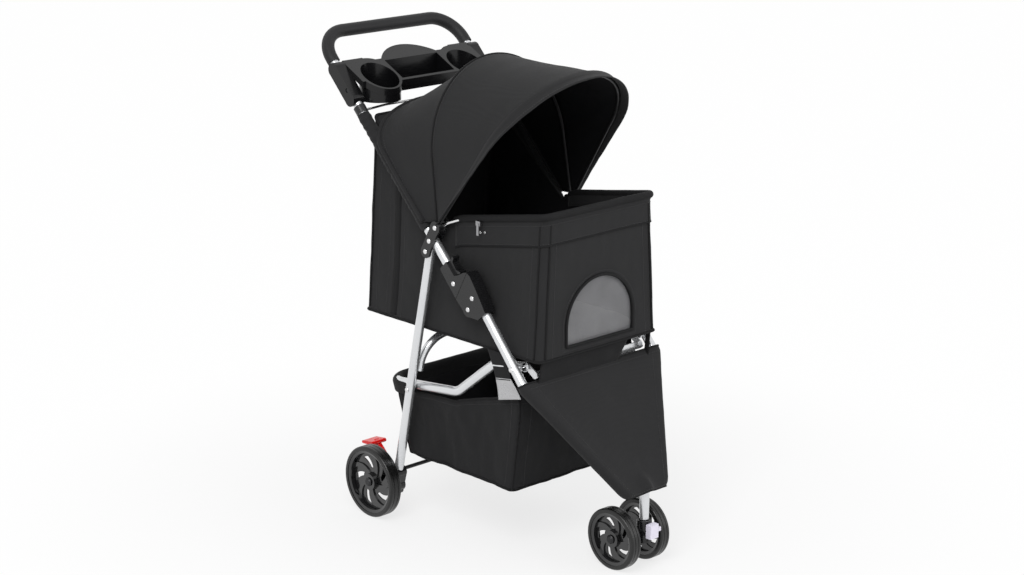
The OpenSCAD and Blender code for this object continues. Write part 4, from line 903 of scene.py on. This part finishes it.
# The channels are pulled in deeply from above and a little from below
swell(mat, 0.006, 4.0, 0.006)
quilted = read_points(mat.data)
channels, channel_half, channel_depth = 4, 0.007, 0.006
channel = np.zeros(len(quilted))
for line in np.linspace(mat_low.y, mat_high.y, channels + 2)[1:-1]:
    channel = np.maximum(channel, np.exp(-((quilted[:, 1] - line) / channel_half) ** 2))
quilted[:, 2] += np.where(quilted[:, 2] > mat_mid.z, -1.0, 0.35) * channel_depth * channel
quilted = np.clip(quilted, mat_low + Vector((-0.002, -0.002, 0.0003)), mat_high + Vector((0.002, 0.002, 0.004)))
write_points(mat.data, quilted)
finer = mat.modifiers.new("finer", "SUBSURF")
finer.levels = 1
settle(mat)
soft(mat, "fleece", "floor_mat", keep=0.4)

# ---- Handle sleeves -----------------------------------------------------------------------------
# Tubes of the canopy's cloth, closed with a seam, that cover the handle between the hubs and the wire.
# They are a little wide for the tube, so they crease across it.

sleeve_from, sleeve_to, sleeve_rows, sleeve_columns = 0.186, 0.462, 90, 28
for side, word in ((-1, "right"), (1, "left")):
    grid = np.zeros((sleeve_rows, sleeve_columns, 3))
    for r, along in enumerate(np.linspace(sleeve_from, sleeve_to, sleeve_rows)):
        for c in range(sleeve_columns):
            a = 2 * math.pi * c / sleeve_columns
            crease = noise.noise(Vector((along * 95, math.cos(a) * 1.4, math.sin(a) * 1.4 + side * 7)))
            slack = 0.0026 + 0.0011 * crease + 0.0006 * math.sin(along * 420 + 2 * math.sin(a + side))
            seam = 0.0016 * math.exp(-((math.degrees(a) - 255) / 9) ** 2)
            radius = tube_r + max(slack, 0.0012) + seam
            grid[r, c] = on_handle(side * side_x + radius * math.cos(a), along, radius * math.sin(a))
    sleeve = cloth_piece("sleeve_" + word, grid, 0.0008, charcoal_oxford, closed=True)
    fit(sleeve, "handle_frame", "fabric")

# ---- Canopy ------------------------------------------------------------------------------------
# One cover of the same cloth in three panels, sewn over the two bows and to the handle sleeves, and
# pulled tight by them. It sags a little between the bows, with piping in the seam over the middle bow.

# Each bow has its half width at its foot and at its arch, its straight part and its reach
bow_r, mid_lean, front_lean = 0.0028, math.radians(8), math.radians(-35)
mid_high, front_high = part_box("mid_bow")[1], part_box("front_bow")[1]
mid_reach, front_reach = (mid_high.z - canopy_pivot.z - bow_r) / math.cos(mid_lean), 0.368
bows = {"middle": (mid_high.x - bow_r, 0.174, 0.130, mid_reach),
        "front": (front_high.x - bow_r, 0.167, 0.200, front_reach)}
over = bow_r + 0.0035
leg_part, arch_part = 16, 40
hem_start, hem_straight = 0.169, 0.200


def canopy_arch(foot, top_x, straight, reach, low):
    """A bow's curve as [x, height over the pivot], from the right foot over the top to the left foot."""
    heights = [low + (straight - low) * i / leg_part for i in range(leg_part)]
    leg = [(-(foot + (top_x - foot) * t / straight), t) for t in heights]
    arch = [(-top_x * math.cos(a), straight + (reach - straight) * math.sin(a))
            for a in np.linspace(0, math.pi, arch_part + 1)]
    return np.array(leg + arch + [(-x, t) for x, t in reversed(leg)])


def over_bow(which, lean, out):
    """The cloth's curve over a bow that leans from the canopy pivot, out from the bow's middle line."""
    foot, top_x, straight, reach = bows[which]
    curve = canopy_arch(foot + out, top_x + out, straight, reach + out, 0.009)
    return np.stack([curve[:, 0], canopy_pivot.y + curve[:, 1] * math.sin(lean),
                     canopy_pivot.z + curve[:, 1] * math.cos(lean)], axis=1)


rear_x = side_x + tube_r + 0.003
rear_flat = canopy_arch(rear_x, rear_x, hem_straight, 0.302, 0.030)
rear_edge = np.array([on_handle(x, hem_start + t, 0.0105) for x, t in rear_flat])
across_arch = np.linspace(0, 1, len(rear_edge))
crown = np.sin(np.pi * np.clip((across_arch - 0.12) / 0.76, 0, 1))
canopy_middle = np.array((0.0, canopy_pivot.y, canopy_pivot.z + 0.10))


def panel(first, last, rows, sag, wrinkle, seed):
    """A sheet between two curves that sags inward between them and puckers along its ends."""
    t = np.linspace(0, 1, rows)[:, None]
    grid = first * (1 - t[..., None]) + last * t[..., None]
    normal = grid_normals(grid)
    normal *= np.sign(np.sum(normal * (canopy_middle - grid), axis=2, keepdims=True))
    hollow = (4 * t * (1 - t)) ** 0.8
    from_end = np.minimum(t, 1 - t) * rows
    ripple = cloth_noise(grid * np.array((1.0, 0.6, 1.0)), 34.0, seed + 5)
    depth = sag * hollow * (0.30 + 0.70 * crown)
    depth += wrinkle * (cloth_noise(grid, 7.0, seed) * hollow
                        + 0.35 * ripple * (0.4 + np.exp(-(from_end / 3.5) ** 2)))
    return grid + normal * (depth * np.minimum(from_end / 1.5, 1))[..., None]


behind_mid, ahead_mid = (over_bow("middle", mid_lean + lean, over) for lean in (0.004, -0.004))
rear_panel_grid = panel(rear_edge, behind_mid, 26, 0.0050, 0.0018, 2.0)
canopy_back = cloth_piece("canopy_back", rear_panel_grid, 0.0012, charcoal_oxford, black_lining, facing=(0, 0.4, 1))
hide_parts("canopy_rear")
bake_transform(canopy_back)

top_grid = panel(ahead_mid, over_bow("front", front_lean + 0.004, over), 30, 0.0026, 0.0014, 5.0)
canopy_crown = cloth_piece("canopy_crown", top_grid, 0.0012, charcoal_oxford, black_lining, facing=(0, -0.2, 1))
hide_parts("canopy_top")
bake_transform(canopy_crown)

# Brim: the hem of the cover, turned back and stitched, which flares out a little ahead of the front bow.
# Each row has its place ahead of the bow, its place outside the cloth's curve and how freely it moves.
brim_profile = np.array((
    (-0.007, 0.0009, 0), (0.004, 0.0010, 0.2), (0.009, 0.0018, 0.4), (0.014, 0.003, 0.65), (0.019, 0.0045, 0.9),
    (0.0225, 0.0052, 1), (0.0235, 0.0040, 1), (0.0225, 0.0026, 1), (0.019, 0.0018, 0.9), (0.013, 0.0003, 0.6),
    (0.006, -0.0014, 0.3), (0.001, -0.0022, 0)))
brim_grid = np.array([over_bow("front", front_lean - 0.004 - ahead / front_reach, over + out)
                      for ahead, out, _ in brim_profile])
free = brim_profile[:, 2, None]
forward = np.array((0, -math.cos(front_lean), math.sin(front_lean)))
raised = np.array((0, math.sin(front_lean), math.cos(front_lean)))
flutter = 0.0022 * cloth_noise(brim_grid[5], 11.0, 21.0)
flare = 0.008 * np.sin(np.pi * np.clip((across_arch - 0.30) / 0.40, 0, 1)) ** 2
brim_grid += (free * flutter)[..., None] * forward + (free * flare)[..., None] * raised
brim = cloth_piece("canopy_brim", brim_grid, 0.0009, charcoal_oxford, facing=(0, -0.6, 1))
fit(brim, "front_bow", "fabric", "canopy_visor")
fit(stitches("brim_stitches", [(brim_grid[3] + brim_grid[4]) / 2]), "front_bow", "fabric")

# Piping over the middle bow, and a row of stitches each side of it
mid_piping = cords("middle_piping", [over_bow("middle", mid_lean, over + 0.0006)], 0.0022, black_binding)
fit(mid_piping, "middle_bow", "fabric")
for lean_by, word in ((0.022, "behind"), (-0.022, "ahead")):
    row = over_bow("middle", mid_lean + lean_by, over + 0.0002)[3:-3]
    fit(stitches("piping_stitches_" + word, [row]), "middle_bow", "fabric")

# Rear casing: the cover's hem sewn round the wire and along the sleeves
casing = cords("rear_casing", [evenly(rear_edge, 0.008)], 0.0050, charcoal_oxford, sides=12, up=tuple(handle_up))
fit(casing, "handle_frame", "fabric")
fit(stitches("casing_stitches", [rear_panel_grid[2] + upright * 0.0004]), "handle_frame", "fabric")

# Back panel: it joins the cabin's rear rim to the canopy's rear hem and to the handle sleeves
hem_flat = canopy_arch(side_x - 0.015, rear_x - 0.0005, hem_straight, 0.3015, 0.020)
panel_top = [on_handle(x, hem_start + t, -0.006 + 0.0160 * float(smooth(t, 0.12, 0.23))) for x, t in hem_flat]
panel_low = rear_rim_path if rear_rim_path[0][0] * panel_top[0][0] > 0 else rear_rim_path[::-1]
rise = np.linspace(0, 1, 18)[:, None, None]
back_grid = spaced(panel_low, 91) * (1 - rise) + spaced(panel_top, 91) * rise
back_wave = 0.0022 * cloth_noise(back_grid, 15.0, 51.0) * np.sin(np.pi * rise[..., 0])
back_grid += grid_normals(back_grid) * back_wave[..., None]
back_panel = cloth_piece("back_panel", back_grid, 0.0012, charcoal_oxford, black_lining, facing=(0, 1, 0.3))
soft(back_panel, "fabric")

# ---- Leg apron ------------------------------------------------------------------------------------
# A panel of the cabin's cloth, pulled round the two slanted legs like a sleeve and seamed behind them.
# A bound hem ends it at the top and at the foot, and a flap and a strap tie it to the cabin.

bag_cloth = cloth("bag_cloth", (0.006, 0.006, 0.0065), (0.014, 0.014, 0.015), 0.00016, 800.0,
                  specular=0.22, sheen=0.03)

leg_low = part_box("front_leg_tube")[0]
leg_foot = np.array((0.0, leg_low.y + tube_r, leg_low.z + tube_r))
leg_knee = np.array((0.0, fold_pivot.y - 0.14746, fold_pivot.z - 0.13152))
leg_length = np.linalg.norm(leg_foot - leg_knee)
leg_run = (leg_foot - leg_knee) / leg_length
leg_out = np.array((0.0, leg_run[2], -leg_run[1]))
knee_half, foot_half, above_knee, end_turn = side_x, 0.052, 0.010, math.radians(82)
apron_rows, end_rows, wrap_steps, face_steps = 46, 9, 12, 40
right_turns = np.radians(-60 - 210 * np.arange(wrap_steps) / wrap_steps)
left_turns = np.radians(90 - 210 * np.arange(1, wrap_steps + 1) / wrap_steps)
apron_grid = []
for r in range(apron_rows + end_rows):
    turn = end_turn * max(r - apron_rows + 1, 0) / end_rows
    s = (leg_length + above_knee) * min(r / (apron_rows - 1), 1) - above_knee + (tube_r + 0.0004) * math.sin(turn)
    share = s / leg_length
    down = min(max(share, 0), 1)
    half = knee_half + (foot_half - knee_half) * down - 0.0014 * math.exp(-(s / 0.02) ** 2)
    half -= 0.0085 * float(smooth(share, 0.985, 1.045))
    radius = tube_r + 0.0018 + 0.0022 * math.exp(-(s / 0.035) ** 2)
    head = (0.0090 + 0.0020 * math.sin(turn)) * float(smooth(share, 0.86, 0.97))
    row = [(radius * math.cos(a) - half, radius * math.sin(a) * math.cos(turn)) for a in right_turns]
    for u in np.linspace(-1, 1, face_steps + 1):
        dip = 0.0045 * (1 - u * u) * math.sin(math.pi * down) + 0.0012 * noise.noise(Vector((u * 3, share * 5, 4)))
        dip += 0.0016 * (1 - abs(u) ** 6)
        row.append((u * half, (radius - dip) * math.cos(turn) + head * math.exp(-(u * half / 0.014) ** 2)))
    row += [(radius * math.cos(a) + half, radius * math.sin(a) * math.cos(turn)) for a in left_turns]
    apron_grid.append([leg_knee + leg_run * s + np.array((x, 0, 0)) + leg_out * n for x, n in row])
apron_grid = np.array(apron_grid)
apron_grid += leg_out * (0.0006 * cloth_noise(apron_grid, 26.0, 9.0))[..., None]
leg_apron = cloth_piece("leg_apron", apron_grid, 0.0010, charcoal_oxford, black_lining, facing=tuple(leg_out))
fit(leg_apron, "front_frame", "fabric", "apron")
apron_seams = [apron_grid[2:-1, wrap_steps + k] + leg_out * 0.0004 for k in (2, face_steps - 2)]
apron_seams += [apron_grid[k, wrap_steps:-wrap_steps] + leg_out * 0.0004 for k in (2, -5)]
fit(stitches("apron_stitches", apron_seams), "front_frame", "fabric")
hem_rows = [apron_grid[k, 4:-4] for k in (0, -1)]
fit(cords("apron_hem", hem_rows, 0.0016, black_binding, up=tuple(leg_run)), "front_frame", "fabric")

# Flap and strap that close the gap between the cabin's front edge and the apron, ahead of the brace
knee_low = leg_knee - leg_run * 0.006 + leg_out * (tube_r + 0.003)
flap_grid = np.zeros((12, 40, 3))
for i, v in enumerate(np.linspace(0, 1, 12)):
    for j, x in enumerate(np.linspace(-0.152, 0.062 + 0.022 * v, 40)):
        ripple = noise.noise(Vector((x * 22, v * 2.0, 8))) * math.sin(math.pi * v)
        flap_grid[i, j] = (x, knee_low[1] + (cabin_front + 0.004 - knee_low[1]) * v + 0.004 * ripple,
                           knee_low[2] - 0.004 + (cabin_floor - 0.0015 - knee_low[2] + 0.004) * v)
knee_flap = cloth_piece("knee_flap", flap_grid, 0.0010, bag_cloth, black_lining, facing=(0, -1, 0))
strap_ends = (0.146, knee_low[1], knee_low[2] - 0.006), (0.146, cabin_front + 0.008, cabin_floor)
strap_path = np.linspace(*strap_ends, 9)
knee_strap = cords("knee_strap", [strap_path], 0.0062, black_binding, flat=0.22, up=(1, 0, 0))
for piece in (knee_flap, knee_strap):
    fit(piece, "front_frame", "fabric")
    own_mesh(piece)

# ---- Basket ------------------------------------------------------------------------------------------
# A bag of thinner cloth slung under the basket tube: it is sewn round the tube behind, hangs from it at
# the sides and ties to the legs in front. Its floor sags, and piping holds the two front corners up.

bag_low, bag_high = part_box("basket")
link_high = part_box("basket_tube")[1]
axle_y = sum(corner.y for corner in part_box("rear_rim_left")) / 2
bar_z = sum(corner.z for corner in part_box("cross_rivets")) / 2 - 0.006
link_x, bar_y = link_high.x - tube_r, link_high.y - tube_r
bag_half, bag_floor, bag_corner, bag_rows, bag_steps = bag_high.x, bag_low.z, 0.012, 30, (34, 50)
bag_front_low, bag_rear_low = axle_y - 0.370, axle_y - 0.058
bag_front_high, bag_rear_high = axle_y - 0.392, bar_y - tube_r - 0.0005
bag_ring_low = tub_ring(bag_front_low, bag_rear_low, bag_half, bag_half, bag_corner, bag_steps)
bag_ring_high = tub_ring(bag_front_high, bag_rear_high, bag_half, bag_half, bag_corner, bag_steps)


def bag_top(y, side_top=0.2915, bend_at=0.213):
    """The height of the bag's edge along its side."""
    ahead = axle_y - y
    behind_part = bar_z - 0.013 + (ahead - 0.013) * 0.0816
    front_part = side_top + 0.0500 * np.clip((ahead - bend_at) / 0.179, 0, 1)
    return np.where(ahead < bend_at, np.minimum(behind_part, side_top), front_part)


def slung(piece, *replaced):
    """A piece of the bag: it rides on the basket's frame and drops together as the frame folds."""
    fit(piece, "basket_frame", "fabric", *replaced)
    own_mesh(piece)


near_front = np.clip((0.02 - (bag_ring_high[:, 1] - bag_front_high)) / 0.02, 0, 1)
front_dip = 0.016 * near_front * np.clip((bag_half - np.abs(bag_ring_high[:, 0])) / 0.10, 0, 1)
v = np.linspace(0, 1, bag_rows + 1)[:, None]
bag_z = bag_floor + (bag_top(bag_ring_high[:, 1]) - front_dip - bag_floor) * v
share = np.clip((bag_z - bag_floor) / (0.30 - bag_floor), 0, 1)[..., None]
bag = np.concatenate([bag_ring_low * (1 - share) + bag_ring_high * share, bag_z[..., None]], axis=2)
bag_out = grid_normals(bag, closed=True)
near_corner = np.minimum(np.abs(bag[..., 1] - bag[..., 1].min()), np.abs(bag[..., 1] - bag[..., 1].max()))
from_side = bag_half - np.abs(bag[..., 0])
loose = smooth(np.where(from_side < 0.002, near_corner, from_side), 0, 0.08)
folds = cloth_noise(bag * np.array((1, 1, 0.45)), 16.0, 31.0)
move = -0.0060 * loose * np.sin(np.pi * v) ** 0.8 + 0.0034 * folds * (0.3 + loose)
move += 0.0008 * cloth_noise(bag, 48.0, 37.0)
bag += bag_out * move[..., None] * np.array((1, 1, 0.3))
basket_bag = cloth_piece("basket_bag", bag, 0.0012, bag_cloth, black_lining, closed=True)
slung(basket_bag, "basket")
bag_base = tub_floor(bag_front_low, bag_rear_low, bag_half - 0.0008, bag_corner, bag_floor + 0.0010, 0.010,
                     31, 27, 0.0006)
bag_base[..., 2] += 0.002 * cloth_noise(bag_base, 12.0, 41.0)
basket_base = cloth_piece("basket_base", bag_base, 0.0012, bag_cloth, black_lining, facing=(0, 0, -1))
slung(basket_base)

# The bag's rear edge, sewn round the bar and down behind it
bend = 0.042
turn_path = [(-link_x, bar_y - bend - 0.020 + 0.005 * k, 180.0) for k in range(4)]
turn_path += [(-link_x + bend - bend * math.cos(math.radians(a)), bar_y - bend + bend * math.sin(math.radians(a)),
               180.0 - a) for a in range(0, 91, 9)]
turn_path += [(-link_x + bend + (2 * link_x - 2 * bend) * k / 24, bar_y, 90.0) for k in range(1, 24)]
turn_path += [(-x, y, 180.0 - a) for x, y, a in reversed(turn_path[:14])]
wrap_grid = []
for x, y, a in turn_path:
    n = np.array((math.cos(math.radians(a)), math.sin(math.radians(a)), 0))
    centre = np.array((x, y, bar_z + 0.0013 * (bar_y - y) / bend))
    reach = tube_r + 0.0022 + 0.0009 * noise.noise(Vector((x * 25, y * 25, 3)))
    hang = 0.004 * noise.noise(Vector((x * 12, 5, y * 12)))
    profile = [centre - n * (reach - 0.001) - upright * d for d in (0.022, 0.014, 0.007)]
    profile += [centre + reach * (n * math.cos(t) + upright * math.sin(t)) for t in np.radians(range(180, -1, -18))]
    profile += [centre + n * (reach - d * 0.22) - upright * d for d in (0.007, 0.014, 0.020 + hang)]
    wrap_grid.append(profile)
bar_wrap = cloth_piece("basket_wrap", np.array(wrap_grid), 0.0010, bag_cloth, black_lining, facing=(0, 1, 1))
fit(bar_wrap, "basket_frame", "fabric")

# Piping in the corners and round the floor, a bound top edge and stitches
bag_corners = corner_stations(bag_steps)
bag_seams = [bag[:-1, start + 2] + bag_out[:-1, start + 2] * 0.0012 for start in bag_corners]
slung(cords("basket_piping", bag_seams, 0.0020, black_binding))
edge = [i for i, (_, y) in enumerate(bag_ring_high) if y < bag_rear_high - 0.02]
slung(cords("basket_edge", [bag[-1, edge] - bag_out[-1, edge] * 0.0006], 0.0022, black_binding))
bag_rows_sewn = [bag[-3, edge] + bag_out[-3, edge] * 0.0005]
bag_rows_sewn += [bag[:-1, start + j] + bag_out[:-1, start + j] * 0.0004
                  for start in bag_corners[1:3] for j in (-2, corner_steps + 2)]
slung(stitches("basket_stitches", bag_rows_sewn))
slung(cords("basket_low_piping", [bag[0] + bag_out[0] * 0.0006], 0.0018, black_binding, closed=True))

# Gussets of pale net over the bag's front corners, on tabs of cloth
pale_net = cloth("pale_net", (0.42, 0.42, 0.43), (0.62, 0.62, 0.63), 0.0006, 520.0, specular=0.2)
gusset_rows, gusset_columns = 14, 18
net_corners = ((-0.137, 0.327), (-0.200, 0.343), (-0.171, 0.377), (-0.129, 0.370))
tab_corners = ((-0.130, 0.367), (-0.171, 0.374), (-0.163, 0.4235), (-0.106, 0.4235))
for side, word in ((-1, "right"), (1, "left")):
    for label, corners, flat, material, lining in (
            ("net_gusset_", net_corners, (0.060, 0.042), pale_net, pale_net),
            ("gusset_tab_", tab_corners, (0.050, 0.053), bag_cloth, black_lining)):
        first, second, third, fourth = np.array(corners)
        grid = np.zeros((gusset_rows, gusset_columns, 3))
        for i, v in enumerate(np.linspace(0, 1, gusset_rows)):
            for j, u in enumerate(np.linspace(0, 1, gusset_columns)):
                y, z = (first * (1 - u) + second * u) * (1 - v) + (fourth * (1 - u) + third * u) * v
                puff = 0.0012 * noise.noise(Vector((y * 40, z * 40, side))) - 0.003 * math.sin(math.pi * v)
                grid[i, j] = (side * (link_high.x + 0.0008 + puff * 0.3), y, z)
        gusset = cloth_piece(label + word, grid, 0.0008, material, lining, facing=(side, 0, 0))
        slung(gusset)
